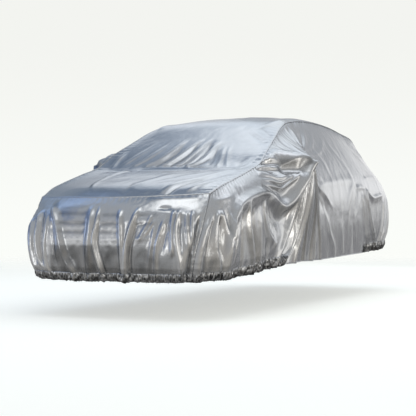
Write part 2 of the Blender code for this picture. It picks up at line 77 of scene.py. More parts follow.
# The skirt, one row for each column from the middle of the front, round the left side, to the
# middle of the rear. girth is the distance round the skirt.
SKIRT_COLUMNS = ("girth", "rim_y",
                 "shoulder_x", "shoulder_y", "shoulder_z", "belt_x", "belt_y", "belt_z",
                 "sill_x", "sill_y", "sill_z", "hem_x", "hem_y", "hem_z")
SKIRT_SECTIONS = (
    (0.00, -2.02, 0.000, -2.300, 0.860, 0.000, -2.350, 0.700, 0.000, -2.355, 0.500, 0.000, -2.310, 0.295),
    (0.45, -2.02, 0.430, -2.270, 0.862, 0.432, -2.325, 0.700, 0.430, -2.335, 0.500, 0.420, -2.300, 0.295),
    (0.86, -2.02, 0.815, -2.110, 0.865, 0.815, -2.195, 0.700, 0.780, -2.240, 0.500, 0.745, -2.225, 0.300),
    (1.03, -1.91, 0.875, -1.975, 0.910, 0.895, -2.030, 0.710, 0.880, -2.080, 0.510, 0.845, -2.090, 0.308),
    (1.39, -1.65, 0.905, -1.690, 1.000, 0.943, -1.710, 0.780, 0.948, -1.740, 0.560, 0.930, -1.760, 0.326),
    (1.77, -1.32, 0.905, -1.340, 1.090, 0.950, -1.360, 0.860, 0.955, -1.370, 0.600, 0.936, -1.380, 0.350),
    (2.04, -1.06, 0.898, -1.070, 1.130, 0.950, -1.080, 0.900, 0.956, -1.090, 0.640, 0.937, -1.100, 0.370),
    (2.26, -0.88, 0.872, -0.880, 1.190, 0.948, -0.880, 0.930, 0.956, -0.880, 0.660, 0.937, -0.880, 0.390),
    (2.49, -0.65, 0.848, -0.650, 1.250, 0.945, -0.650, 0.970, 0.956, -0.650, 0.690, 0.937, -0.650, 0.402),
    (2.81, -0.33, 0.825, -0.330, 1.320, 0.941, -0.330, 1.020, 0.956, -0.330, 0.710, 0.936, -0.330, 0.406),
    (3.14, 0.00, 0.803, 0.000, 1.380, 0.936, 0.000, 1.060, 0.955, 0.000, 0.730, 0.935, 0.000, 0.408),
    (3.84, 0.70, 0.786, 0.700, 1.420, 0.925, 0.700, 1.100, 0.950, 0.700, 0.760, 0.930, 0.700, 0.424),
    (4.62, 1.45, 0.755, 1.470, 1.400, 0.910, 1.500, 1.120, 0.940, 1.520, 0.790, 0.915, 1.480, 0.440),
    (5.20, 1.98, 0.695, 2.000, 1.360, 0.860, 2.060, 1.100, 0.900, 2.080, 0.780, 0.875, 2.030, 0.455),
    (5.45, 2.12, 0.640, 2.210, 1.300, 0.785, 2.290, 1.050, 0.835, 2.300, 0.750, 0.795, 2.245, 0.468),
    (5.85, 2.12, 0.340, 2.300, 1.300, 0.420, 2.390, 1.050, 0.440, 2.400, 0.750, 0.420, 2.340, 0.470),
    (6.25, 2.12, 0.000, 2.315, 1.300, 0.000, 2.410, 1.050, 0.000, 2.420, 0.750, 0.000, 2.360, 0.470),
)
FRONT_SEAM = 0.86         # girth at the front corner seam
REAR_SEAM = 5.45          # girth at the rear corner seam
REAR_MIDDLE = 6.25        # girth at the middle of the rear
LEVEL_DROPS = (0.0, 0.18, 0.45, 0.74, 1.0)   # rim, shoulder, belt, sill and hem
COLUMN_LENGTH = 1.15      # typical length of a column from rim to hem, in metres

# The tent on each side, as reaches from its tip on bearings: 0 is to the rear, 90 up.
MIRROR_GIRTH = 2.57
MIRROR_HEIGHT = 1.29
MIRROR_PUSH = 0.235
TENT_ROUND = 0.04
TENT_COLUMNS = ("bearing", "reach", "power")
TENT_REACHES = (
    (0, 0.42, 1.6), (30, 0.62, 1.3), (45, 0.40, 1.1), (60, 0.28, 1.0), (90, 0.20, 1.0),
    (120, 0.19, 1.0), (150, 0.24, 1.0), (170, 0.38, 1.2), (190, 0.54, 1.5), (225, 0.72, 1.7),
    (270, 0.90, 1.7), (315, 0.68, 1.8), (360, 0.42, 1.6),
)

# The slack of the right front corner.
SLACK_GIRTH = -1.00
SLACK_HALF_WIDTH = 0.32
SLACK_DRAW_IN = 0.055
SLACK_HEM_DRAW_IN = 0.035

# The hem's elastic gathers the front as far as the tent's folds, and the rear.
GATHER_FRONT_END = 2.24
GATHER_REAR_START = 4.40
GATHER_EASE = 0.03
GATHER_TOP_DROP = 0.86
HEM_DRAW_IN = 0.022
BAND_RUN_ON = 0.04        # how far the ruffled bands run on past the gathers
BAND_STEP = 0.0034        # from column to column of the bands
BAND_ROWS = 12
FRONT_BAND_SHARE = 1.25   # height of the front's band and of the left one next to it
FRONT_BAND_REACH = 0.9    # girth within which a band's first column makes it one of these

# Where the columns and rows of the grids lie: (girth, step) from each girth on, in metres.
GIRTH_STEPS = ((0.00, 0.0070), (0.86, 0.0080), (2.30, 0.0090), (3.10, 0.0165), (4.40, 0.0130),
               (5.45, 0.0200))
SKIRT_ROWS = 108
TOP_ACROSS_CELLS = 112
TOP_ALONG_CELLS = 330

# ------------------------------------------------------------------ the creases, in millimetres
# One row for each crease: height of its ridge (below 0 for a trough), half width at its start
# and end, lean (0 is even, more is steeper on the left hand of its line), the shares of its
# length over which it rises and falls away, and points of its line in metres.
# Creases of both sides: points are (girth, height above the ground).
SIDE_CREASES = (
    # the ridge from beside the slope's foot to the tent's tip, and the pleats above it
    (50, 50, 40, -0.10, 0.30, 0.12, ((2.10, 1.342), (2.22, 1.342), (2.41, 1.334), (2.560, 1.308))),
    (-44, 52, 44, -0.25, 0.40, 0.20, ((2.16, 1.222), (2.32, 1.214), (2.50, 1.205))),
    (11, 6, 14, 0.0, 0.05, 0.20, ((2.60, 1.33), (2.89, 1.51), (2.93, 1.655))),
    (-12, 6, 11, 0.0, 0.05, 0.20, ((2.61, 1.33), (2.94, 1.51), (3.00, 1.66))),
    (14, 6, 15, 0.0, 0.05, 0.20, ((2.62, 1.34), (3.00, 1.51), (3.07, 1.665))),
    (10, 6, 12, 0.0, 0.10, 0.20, ((2.57, 1.33), (2.67, 1.42), (2.74, 1.57))),
    (-9, 6, 11, 0.0, 0.10, 0.20, ((2.56, 1.33), (2.61, 1.40), (2.65, 1.54))),
    (9, 6, 12, 0.0, 0.10, 0.20, ((2.54, 1.33), (2.56, 1.39), (2.57, 1.50))),
    (8, 6, 10, 0.0, 0.10, 0.30, ((2.50, 1.33), (2.46, 1.37), (2.40, 1.44))),
    (-8, 6, 9, 0.0, 0.10, 0.30, ((2.50, 1.33), (2.50, 1.39), (2.48, 1.46))),
    (7, 6, 9, 0.0, 0.10, 0.30, ((2.44, 1.335), (2.38, 1.36), (2.31, 1.385))),
    (8, 6, 15, 0.0, 0.05, 0.30, ((2.66, 1.34), (3.10, 1.50), (3.22, 1.665))),
    (-7, 6, 14, 0.0, 0.05, 0.30, ((2.68, 1.345), (3.18, 1.50), (3.33, 1.67))),
    (6, 8, 16, 0.0, 0.10, 0.30, ((2.74, 1.35), (3.26, 1.50), (3.44, 1.67))),
    (5, 8, 18, 0.0, 0.10, 0.40, ((2.84, 1.36), (3.42, 1.50), (3.66, 1.68))),
    (4, 10, 20, 0.0, 0.10, 0.40, ((2.90, 1.35), (3.55, 1.44), (3.95, 1.66))),
    # short rolls beside the seam at the foot of the slope
    (19, 13, 13, 0.30, 0.15, 0.60, ((2.03, 1.290), (2.12, 1.291), (2.22, 1.290), (2.34, 1.288))),
    (-18, 15, 16, 0.0, 0.15, 0.60, ((1.98, 1.256), (2.08, 1.255), (2.19, 1.256), (2.32, 1.260))),
    (22, 14, 14, 0.30, 0.15, 0.55, ((1.90, 1.222), (2.03, 1.220), (2.15, 1.222), (2.30, 1.236))),
    (-15, 12, 13, 0.0, 0.15, 0.60, ((1.86, 1.192), (1.99, 1.190), (2.12, 1.194), (2.26, 1.208))),
    (14, 11, 12, 0.30, 0.20, 0.50, ((1.83, 1.170), (1.94, 1.168), (2.04, 1.170), (2.15, 1.182))),
    # crescents that hang between the tent's tip and the slope's foot
    (26, 16, 20, -0.2, 0.35, 0.35, ((1.78, 1.150), (1.88, 1.150), (2.00, 1.138), (2.15, 1.125),
                                   (2.28, 1.165), (2.44, 1.255))),
    (22, 11, 13, -0.2, 0.30, 0.35, ((1.82, 1.115), (2.00, 1.100), (2.13, 1.085), (2.30, 1.140),
                                    (2.46, 1.245))),
    (-18, 9, 11, 0.0, 0.35, 0.35, ((1.94, 1.085), (2.04, 1.075), (2.14, 1.067), (2.27, 1.110),
                                   (2.42, 1.205))),
    (27, 12, 15, -0.2, 0.30, 0.30, ((1.84, 1.085), (2.01, 1.055), (2.12, 1.042), (2.27, 1.095),
                                    (2.50, 1.245))),
    (-26, 55, 55, 0.0, 0.45, 0.35, ((1.96, 1.000), (2.12, 0.965), (2.26, 1.010), (2.42, 1.150))),
    (9, 16, 20, 0.0, 0.40, 0.40, ((2.00, 1.02), (2.08, 0.985), (2.15, 0.955))),
    # the swag from the tent's tip, its run on to the front, and the hollow under it
    (50, 30, 38, 0.35, 0.03, 0.22, ((2.56, 1.292), (2.46, 1.170), (2.35, 1.020), (2.26, 0.920),
                                    (2.17, 0.885), (2.02, 0.940))),
    (48, 38, 44, -0.30, 0.10, 0.30, ((2.17, 0.885), (2.02, 0.940), (1.87, 0.990), (1.60, 0.970),
                                     (1.42, 0.930), (1.27, 0.870), (1.19, 0.790), (1.16, 0.660),
                                     (1.14, 0.450), (1.13, 0.220))),
    (-34, 58, 66, 0.0, 0.35, 0.40, ((2.36, 0.940), (2.26, 0.840), (2.14, 0.775), (1.98, 0.820),
                                    (1.84, 0.900))),
    (12, 18, 30, 0.0, 0.30, 0.50, ((1.84, 0.955), (1.95, 0.918), (2.06, 0.880))),
    # the folds under the swag's front part
    (29, 28, 42, 0.0, 0.20, 0.10, ((1.31, 0.880), (1.28, 0.780), (1.25, 0.610), (1.23, 0.450),
                                   (1.22, 0.200))),
    (-15, 18, 24, 0.0, 0.20, 0.10, ((1.39, 0.900), (1.36, 0.750), (1.38, 0.600), (1.40, 0.400),
                                    (1.40, 0.200))),
    (33, 22, 34, 0.2, 0.15, 0.10, ((1.46, 0.950), (1.47, 0.870), (1.475, 0.740), (1.54, 0.570),
                                   (1.60, 0.400), (1.62, 0.200))),
    (-22, 24, 30, 0.0, 0.20, 0.10, ((1.58, 0.930), (1.59, 0.740), (1.65, 0.560), (1.69, 0.300))),
    (20, 26, 34, 0.0, 0.25, 0.10, ((1.71, 0.940), (1.72, 0.700), (1.74, 0.560), (1.76, 0.200))),
    (21, 18, 34, 0.0, 0.15, 0.30, ((1.79, 0.965), (1.81, 0.780), (1.90, 0.650), (2.01, 0.580),
                                   (2.08, 0.530))),
    (15, 40, 40, 0.0, 0.50, 0.50, ((1.98, 0.610), (2.07, 0.550))),
    (-15, 22, 28, 0.0, 0.30, 0.10, ((1.85, 0.640), (1.89, 0.500), (1.92, 0.300))),
    (9, 16, 22, 0.0, 0.30, 0.20, ((1.99, 0.480), (1.97, 0.400), (1.96, 0.250))),
    # the cone of folds that falls from the tent's tip to the hem
    (34, 14, 30, 0.0, 0.03, 0.15, ((2.545, 1.275), (2.44, 1.100), (2.36, 0.960), (2.29, 0.760),
                                   (2.20, 0.600), (2.10, 0.450), (2.02, 0.250))),
    (-26, 12, 20, 0.0, 0.06, 0.20, ((2.535, 1.230), (2.45, 1.000), (2.395, 0.780), (2.32, 0.610),
                                    (2.18, 0.460), (2.10, 0.350))),
    (32, 10, 19, -0.2, 0.03, 0.15, ((2.560, 1.278), (2.485, 1.100), (2.45, 0.950), (2.435, 0.800),
                                    (2.41, 0.660), (2.34, 0.510), (2.20, 0.410), (2.08, 0.300))),
    (-24, 9, 17, 0.0, 0.06, 0.15, ((2.560, 1.240), (2.50, 1.000), (2.48, 0.760), (2.44, 0.580),
                                   (2.36, 0.440), (2.26, 0.300))),
    (32, 11, 26, 0.0, 0.03, 0.10, ((2.580, 1.280), (2.535, 1.080), (2.525, 0.830), (2.50, 0.600),
                                   (2.46, 0.410), (2.44, 0.200))),
    (-36, 13, 28, 0.0, 0.04, 0.10, ((2.60, 1.275), (2.61, 1.050), (2.64, 0.790), (2.69, 0.550),
                                    (2.72, 0.300), (2.72, 0.200))),
    (31, 11, 27, 0.0, 0.03, 0.10, ((2.615, 1.280), (2.69, 1.100), (2.77, 0.950), (2.83, 0.740),
                                   (2.86, 0.440), (2.86, 0.200))),
    (-22, 10, 20, 0.0, 0.15, 0.10, ((2.72, 1.130), (2.85, 0.920), (2.94, 0.720), (2.96, 0.500),
                                    (2.97, 0.200))),
    (23, 11, 19, 0.2, 0.15, 0.10, ((2.80, 1.090), (2.94, 0.910), (3.04, 0.690), (3.10, 0.430),
                                   (3.11, 0.200))),
    (22, 11, 17, 0.2, 0.08, 0.40, ((2.66, 1.275), (2.82, 1.190), (3.02, 1.090), (3.24, 0.980),
                                   (3.46, 0.870))),
    (-15, 22, 40, 0.0, 0.30, 0.40, ((2.86, 1.120), (3.04, 0.990), (3.20, 0.870), (3.32, 0.760))),
    (10, 16, 26, 0.0, 0.30, 0.20, ((3.00, 1.050), (3.12, 0.960), (3.22, 0.820), (3.34, 0.640),
                                   (3.47, 0.500), (3.50, 0.350))),
    # round the front corner
    (27, 19, 30, 0.0, 0.20, 0.10, ((0.930, 0.850), (0.915, 0.780), (0.900, 0.680), (0.905, 0.500),
                                   (0.920, 0.200))),
    (-15, 10, 16, 0.0, 0.20, 0.10, ((0.955, 0.820), (0.945, 0.700), (0.950, 0.550), (0.965, 0.300))),
    (24, 16, 24, 0.0, 0.10, 0.20, ((1.005, 0.865), (0.985, 0.780), (0.990, 0.680), (1.020, 0.560),
                                   (1.070, 0.440), (1.080, 0.280))),
    (-16, 9, 16, 0.0, 0.20, 0.30, ((1.020, 0.810), (1.030, 0.700), (1.060, 0.570), (1.100, 0.450))),
    (25, 16, 24, 0.0, 0.10, 0.20, ((1.015, 0.865), (1.065, 0.760), (1.110, 0.660), (1.145, 0.520),
                                   (1.150, 0.250))),
    (23, 16, 26, 0.0, 0.20, 0.10, ((1.120, 0.880), (1.145, 0.760), (1.175, 0.640), (1.190, 0.450),
                                   (1.190, 0.200))),
    (-16, 11, 18, 0.0, 0.20, 0.10, ((1.215, 0.800), (1.205, 0.650), (1.215, 0.500), (1.215, 0.250))),
    (6, 46, 46, 0.0, 0.45, 0.45, ((0.985, 0.550), (1.005, 0.420))),
    (9, 16, 18, 0.3, 0.40, 0.50, ((0.92, 0.925), (1.04, 0.935), (1.16, 0.955), (1.28, 0.965))),
    # the level line along the side, the step in it and the folds that meet low at its rear
    (10, 34, 36, -0.10, 0.15, 0.05, ((3.06, 1.080), (3.21, 1.100), (3.65, 1.140), (4.13, 1.172))),
    (9, 26, 40, 0.0, 0.10, 0.50, ((4.11, 1.160), (3.97, 1.060), (3.86, 0.950), (3.82, 0.760),
                                  (3.83, 0.600))),
    (-9, 18, 24, 0.0, 0.20, 0.30, ((4.16, 1.160), (4.13, 1.060), (4.08, 0.940), (4.04, 0.800))),
    (12, 20, 20, 0.35, 0.15, 0.15, ((4.10, 1.085), (4.24, 1.096), (4.39, 1.090))),
    (21, 20, 22, 0.65, 0.10, 0.15, ((4.38, 1.092), (4.47, 1.035), (4.57, 1.000), (4.75, 1.010),
                                    (4.98, 1.035))),
    (9, 14, 14, 0.40, 0.20, 0.30, ((4.42, 1.190), (4.74, 1.208), (5.08, 1.215))),
    (20, 14, 24, 0.0, 0.15, 0.15, ((4.26, 1.080), (4.30, 0.830), (4.42, 0.600), (4.53, 0.460),
                                   (4.56, 0.300))),
    (-17, 11, 18, 0.0, 0.15, 0.15, ((4.32, 1.060), (4.375, 0.830), (4.50, 0.610), (4.62, 0.460))),
    (19, 12, 20, 0.0, 0.15, 0.15, ((4.38, 1.070), (4.47, 0.810), (4.64, 0.620), (4.77, 0.510),
                                   (4.81, 0.380))),
    (22, 18, 26, 0.0, 0.15, 0.15, ((4.96, 1.020), (4.94, 0.860), (4.895, 0.620), (4.86, 0.480),
                                   (4.84, 0.300))),
    (-12, 14, 20, 0.0, 0.20, 0.20, ((5.07, 1.020), (5.02, 0.820), (4.96, 0.620), (4.90, 0.450))),
    (16, 16, 22, 0.0, 0.20, 0.20, ((5.20, 1.080), (5.13, 0.850), (5.02, 0.620), (4.94, 0.440))),
    (9, 12, 14, 0.20, 0.25, 0.35, ((4.64, 1.585), (4.80, 1.550), (4.94, 1.495), (5.10, 1.345))),
    (5, 16, 18, 0.0, 0.40, 0.40, ((4.45, 1.540), (4.66, 1.480), (4.86, 1.380), (5.00, 1.260))),
    (5, 20, 26, 0.0, 0.40, 0.40, ((3.30, 1.480), (3.42, 1.340), (3.48, 1.190))),
    (4, 22, 30, 0.0, 0.40, 0.40, ((3.80, 1.560), (3.98, 1.380), (4.10, 1.220))),
    (8, 12, 20, 0.0, 0.30, 0.30, ((3.02, 1.250), (3.12, 1.180), (3.24, 1.130))),
    # the rear's folds, from the corners of the crown down to the hem
    (14, 14, 30, 0.0, 0.20, 0.15, ((5.56, 1.380), (5.60, 1.100), (5.58, 0.800), (5.62, 0.520))),
    (-10, 14, 26, 0.0, 0.25, 0.15, ((5.68, 1.300), (5.70, 1.000), (5.69, 0.740), (5.72, 0.520))),
    (12, 16, 30, 0.0, 0.25, 0.15, ((5.80, 1.260), (5.84, 0.980), (5.80, 0.720), (5.82, 0.520))),
    (9, 18, 34, 0.0, 0.30, 0.15, ((6.04, 1.040), (6.00, 0.800), (6.02, 0.520))),
    (6, 14, 22, 0.0, 0.30, 0.20, ((3.62, 0.780), (3.68, 0.600), (3.72, 0.420))),
    (-6, 18, 26, 0.0, 0.30, 0.20, ((3.98, 0.760), (4.04, 0.560), (4.08, 0.400))),
)
# Creases of the front: points are (girth, height above the ground), minus on the right.
FRONT_CREASES = (
    (32, 16, 22, -0.30, 0.15, 0.10, ((-0.560, 0.950), (-0.520, 0.880), (-0.430, 0.760), (-0.380, 0.620),
                                     (-0.330, 0.480), (-0.275, 0.380), (-0.240, 0.240))),
    (24, 22, 26, 0.0, 0.20, 0.10, ((-0.110, 0.910), (-0.085, 0.760), (-0.095, 0.580), (-0.100, 0.370),
                                   (-0.100, 0.200))),
    (21, 8, 12, 0.0, 0.20, 0.10, ((-0.030, 0.900), (-0.025, 0.760), (-0.045, 0.620), (-0.010, 0.450),
                                  (0.010, 0.380), (0.020, 0.250))),
    (-14, 7, 11, 0.0, 0.25, 0.10, ((0.000, 0.800), (-0.010, 0.680), (-0.010, 0.600), (0.025, 0.450),
                                   (0.050, 0.280))),
    (24, 13, 22, 0.0, 0.15, 0.10, ((0.170, 0.880), (0.195, 0.760), (0.212, 0.600), (0.215, 0.380),
                                   (0.215, 0.200))),
    (25, 9, 15, 0.0, 0.15, 0.10, ((0.345, 0.890), (0.318, 0.800), (0.288, 0.700), (0.262, 0.590),
                                  (0.248, 0.460), (0.240, 0.250))),
    (-20, 10, 14, 0.0, 0.20, 0.10, ((0.352, 0.780), (0.318, 0.660), (0.290, 0.550), (0.280, 0.400),
                                    (0.278, 0.250))),
    (10, 9, 14, 0.0, 0.30, 0.30, ((0.465, 0.860), (0.440, 0.760), (0.385, 0.650), (0.340, 0.570))),
    (9, 7, 9, 0.0, 0.40, 0.30, ((0.395, 0.630), (0.450, 0.710), (0.500, 0.790))),
    (11, 10, 18, 0.0, 0.30, 0.30, ((0.500, 0.800), (0.490, 0.650), (0.470, 0.500), (0.465, 0.350))),
    (17, 10, 18, 0.0, 0.20, 0.20, ((0.565, 0.820), (0.553, 0.720), (0.528, 0.590), (0.520, 0.440),
                                   (0.520, 0.300))),
    (-9, 9, 13, 0.0, 0.30, 0.30, ((0.590, 0.780), (0.585, 0.650), (0.575, 0.500))),
    (19, 9, 15, 0.0, 0.15, 0.20, ((0.618, 0.860), (0.622, 0.760), (0.640, 0.660), (0.660, 0.570),
                                  (0.672, 0.480))),
    (22, 9, 16, 0.0, 0.15, 0.15, ((0.652, 0.870), (0.655, 0.740), (0.682, 0.620), (0.712, 0.540),
                                  (0.760, 0.400), (0.775, 0.300))),
    (-12, 7, 10, 0.0, 0.20, 0.30, ((0.678, 0.800), (0.692, 0.680), (0.725, 0.580), (0.760, 0.480))),
    (14, 7, 12, 0.0, 0.20, 0.30, ((0.700, 0.850), (0.722, 0.770), (0.765, 0.650), (0.812, 0.530))),
    (20, 9, 12, 0.0, 0.15, 0.20, ((0.745, 0.860), (0.765, 0.770), (0.800, 0.670), (0.828, 0.570),
                                  (0.842, 0.480))),
    (-32, 10, 17, 0.0, 0.15, 0.10, ((0.812, 0.830), (0.822, 0.720), (0.830, 0.600), (0.828, 0.450),
                                    (0.815, 0.280))),
    # the brow and the slit of the corner under the front seam
    (10, 26, 26, 0.0, 0.30, 0.20, ((0.360, 0.930), (0.560, 0.935), (0.720, 0.940), (0.840, 0.945))),
    (-11, 10, 10, 0.0, 0.45, 0.45, ((0.480, 0.866), (0.560, 0.872), (0.620, 0.868))),
    (9, 20, 20, 0.0, 0.40, 0.40, ((0.440, 0.838), (0.560, 0.834), (0.680, 0.826), (0.810, 0.812))),
    # level bars that the cloth is drawn over, between the hanging folds
    (-2, 15, 15, 0.0, 0.15, 0.15, ((-0.470, 0.838), (-0.300, 0.828), (-0.140, 0.824))),
    (-2, 15, 15, 0.0, 0.15, 0.15, ((-0.430, 0.764), (-0.270, 0.754), (-0.130, 0.748))),
    (-2, 15, 15, 0.0, 0.15, 0.15, ((-0.400, 0.694), (-0.260, 0.688), (-0.130, 0.682))),
    (2, 15, 15, 0.0, 0.15, 0.15, ((-0.380, 0.624), (-0.250, 0.626), (-0.130, 0.624))),
    (-2, 14, 14, 0.0, 0.15, 0.15, ((0.000, 0.816), (0.100, 0.818), (0.180, 0.822))),
    (-2, 14, 14, 0.0, 0.15, 0.15, ((0.000, 0.750), (0.100, 0.750), (0.190, 0.752))),
    (-2, 14, 14, 0.0, 0.15, 0.15, ((0.000, 0.686), (0.100, 0.688), (0.195, 0.690))),
    (2, 14, 14, 0.0, 0.15, 0.15, ((0.000, 0.624), (0.100, 0.626), (0.195, 0.630))),
    (-5, 12, 14, 0.0, 0.20, 0.30, ((0.345, 0.806), (0.420, 0.818), (0.500, 0.826))),
    (-5, 12, 14, 0.0, 0.20, 0.30, ((0.320, 0.736), (0.400, 0.748), (0.480, 0.758))),
    (5, 14, 14, 0.0, 0.20, 0.30, ((0.310, 0.632), (0.400, 0.636), (0.500, 0.636))),
    (-6, 40, 40, 0.0, 0.30, 0.30, ((-0.360, 0.500), (-0.260, 0.480), (-0.170, 0.480))),
    (-6, 36, 36, 0.0, 0.30, 0.30, ((0.060, 0.500), (0.120, 0.480), (0.170, 0.480))),
    (-6, 36, 36, 0.0, 0.30, 0.30, ((0.350, 0.520), (0.420, 0.480), (0.460, 0.480))),
    # the far corner
    (22, 18, 22, 0.0, 0.20, 0.15, ((-0.690, 0.920), (-0.655, 0.760), (-0.660, 0.610), (-0.620, 0.440),
                                   (-0.530, 0.320))),
    (-15, 12, 16, 0.0, 0.20, 0.20, ((-0.620, 0.880), (-0.605, 0.720), (-0.610, 0.540), (-0.590, 0.400))),
    (17, 14, 18, 0.0, 0.20, 0.15, ((-0.560, 0.860), (-0.550, 0.700), (-0.562, 0.540), (-0.550, 0.400),
                                   (-0.500, 0.280))),
    (-15, 12, 16, 0.0, 0.20, 0.20, ((-0.720, 0.860), (-0.705, 0.700), (-0.715, 0.520), (-0.680, 0.380))),
    (20, 16, 20, 0.0, 0.20, 0.15, ((-0.790, 0.850), (-0.752, 0.680), (-0.765, 0.480), (-0.700, 0.320))),
    (-11, 11, 15, 0.0, 0.20, 0.20, ((-0.500, 0.800), (-0.470, 0.640), (-0.450, 0.480), (-0.420, 0.350))),
)
# Creases of the top panel: points are (x, y).
TOP_CREASES = (
    # the low front part
    (13, 8, 9, 0.30, 0.20, 0.15, ((-0.215, -2.180), (-0.250, -2.080), (-0.340, -1.840), (-0.420, -1.490),
                                    (-0.410, -1.260), (-0.320, -1.110))),
    (17, 22, 34, 0.30, 0.20, 0.20, ((0.410, -2.180), (0.450, -1.980), (0.510, -1.800), (0.590, -1.580),
                                   (0.660, -1.400), (0.720, -1.240))),
    (-11, 10, 16, 0.0, 0.05, 0.40, ((0.480, -2.160), (0.525, -1.980), (0.580, -1.820), (0.660, -1.640))),
    (12, 18, 24, 0.0, 0.20, 0.40, ((0.600, -2.080), (0.660, -1.900), (0.720, -1.680), (0.770, -1.420))),
    (-7, 8, 10, 0.0, 0.20, 0.30, ((0.110, -2.190), (0.095, -2.060), (0.065, -1.940), (0.040, -1.860))),
    (8, 26, 34, 0.0, 0.20, 0.40, ((0.140, -2.200), (0.150, -1.960), (0.180, -1.700), (0.240, -1.420))),
    (5, 16, 20, 0.0, 0.30, 0.30, ((0.220, -1.900), (0.330, -1.700), (0.480, -1.460), (0.580, -1.340))),
    # where the cloth bridges from the low front part to the slope
    (11, 15, 16, 0.0, 0.20, 0.20, ((-0.420, -1.110), (-0.300, -1.100), (-0.050, -1.105), (0.340, -1.160),
                                   (0.600, -1.260), (0.750, -1.320))),
    (-12, 32, 34, 0.0, 0.20, 0.20, ((-0.700, -1.130), (-0.350, -1.190), (0.000, -1.200), (0.340, -1.240),
                                    (0.580, -1.340))),
    # the slanting folds up the slope
    (9, 16, 22, 0.0, 0.20, 0.50, ((-0.600, -1.080), (-0.520, -0.920), (-0.440, -0.760), (-0.400, -0.600))),
    (12, 15, 22, 0.0, 0.15, 0.50, ((-0.480, -1.100), (-0.450, -1.050), (-0.360, -0.910), (-0.280, -0.730),
                                   (-0.250, -0.600))),
    (19, 13, 20, 0.0, 0.08, 0.45, ((-0.340, -1.090), (-0.290, -1.030), (-0.210, -0.930), (-0.160, -0.800),
                                   (-0.130, -0.680), (-0.120, -0.560))),
    (-12, 10, 16, 0.0, 0.10, 0.45, ((-0.240, -1.070), (-0.170, -0.970), (-0.110, -0.860), (-0.080, -0.720))),
    (20, 13, 20, 0.0, 0.08, 0.45, ((-0.180, -1.095), (-0.130, -1.040), (-0.050, -0.900), (-0.010, -0.790),
                                   (0.020, -0.690), (0.040, -0.560))),
    (-13, 10, 15, 0.0, 0.10, 0.45, ((-0.090, -1.070), (-0.030, -0.970), (0.020, -0.860), (0.050, -0.720))),
    (18, 12, 18, 0.0, 0.08, 0.45, ((-0.040, -1.100), (0.010, -1.050), (0.060, -0.930), (0.090, -0.810),
                                   (0.110, -0.670), (0.120, -0.560))),
    (-20, 12, 17, 0.0, 0.10, 0.40, ((0.070, -1.080), (0.130, -0.990), (0.160, -0.900), (0.170, -0.760),
                                    (0.165, -0.620))),
    (26, 17, 22, 0.0, 0.05, 0.45, ((0.090, -1.110), (0.150, -1.065), (0.220, -0.970), (0.238, -0.850),
                                   (0.232, -0.740), (0.220, -0.620))),
    (-8, 10, 14, 0.0, 0.10, 0.45, ((0.310, -1.060), (0.300, -0.940), (0.285, -0.820))),
    (12, 11, 15, 0.0, 0.10, 0.45, ((0.420, -1.140), (0.385, -0.960), (0.340, -0.830), (0.315, -0.720))),
    (9, 9, 13, 0.0, 0.10, 0.45, ((0.520, -1.140), (0.435, -0.940), (0.390, -0.810), (0.370, -0.700))),
    (-4, 7, 9, 0.0, 0.40, 0.10, ((0.420, -0.500), (0.510, -0.575), (0.610, -0.655), (0.715, -0.740))),
    (5, 7, 10, 0.0, 0.40, 0.10, ((0.460, -0.480), (0.560, -0.550), (0.660, -0.630), (0.715, -0.690))),
    (-6, 8, 12, 0.0, 0.40, 0.10, ((0.520, -0.430), (0.620, -0.500), (0.690, -0.570))),
    (7, 16, 20, 0.0, 0.20, 0.40, ((0.680, -1.260), (0.710, -1.080), (0.735, -0.960), (0.730, -0.820))),
    (-6, 12, 16, 0.0, 0.20, 0.40, ((0.600, -1.160), (0.620, -1.040), (0.660, -0.900))),
    (11, 13, 14, 0.0, 0.25, 0.35, ((-0.655, -1.100), (-0.672, -0.980), (-0.670, -0.880), (-0.650, -0.780))),
    # the crown: its front corners, its long edges and slack between them
    (10, 24, 30, 0.0, 0.30, 0.40, ((0.480, -0.480), (0.550, -0.340), (0.590, -0.160), (0.600, 0.060))),
    (10, 26, 30, 0.0, 0.30, 0.40, ((-0.560, -0.460), (-0.560, -0.320), (-0.560, -0.140), (-0.560, 0.060))),
    (9, 30, 32, 0.0, 0.20, 0.20, ((0.540, -0.200), (0.540, 0.600), (0.520, 1.400), (0.500, 2.000))),
    (9, 30, 32, 0.0, 0.20, 0.20, ((-0.540, -0.200), (-0.540, 0.600), (-0.520, 1.400), (-0.500, 2.000))),
    (5, 26, 30, 0.0, 0.40, 0.40, ((0.200, -0.300), (0.180, 0.300), (0.220, 0.900), (0.260, 1.500))),
    (5, 26, 30, 0.0, 0.40, 0.40, ((-0.240, 0.100), (-0.200, 0.700), (-0.260, 1.300), (-0.220, 1.900))),
    (6, 20, 26, 0.0, 0.30, 0.30, ((-0.480, 1.960), (-0.200, 1.800), (0.160, 1.840), (0.460, 1.990))),
)
# Where the whole cover sits a little off its form: middle (x, y, height), radii, then the shift.
SETTLES = (
    (-0.80, -2.02, 1.02, 0.30, 0.30, 0.11, 0.030, 0.020, -0.014),
    (-0.70, -1.45, 1.14, 0.30, 0.50, 0.30, 0.000, 0.000, -0.018),
    (-0.10, 0.75, 1.76, 0.40, 0.80, 0.30, 0.000, 0.000, -0.022),
    (0.62, 0.60, 1.70, 0.16, 1.30, 0.14, 0.000, 0.000, 0.022),
    (0.60, -0.16, 1.68, 0.12, 0.16, 0.12, 0.000, 0.000, 0.012),
    (-0.58, -0.30, 1.62, 0.17, 0.22, 0.25, -0.006, 0.000, 0.020),
)
LINE_STEPS = 28           # straight steps that a crease's line is measured against
CREST_ROUND = 0.38        # rounding of a crest, as a share of its half width
RIM_EASE = 0.04           # share of the drop over which the skirt's creases rise from the seam
TENT_EASE = 0.12          # the same for the tents and the slack corner
SEAM_EASE = 0.018         # girth over which creases rise from a corner seam
EDGE_EASE_ACROSS = 0.030  # share of the half width over which the top's creases rise
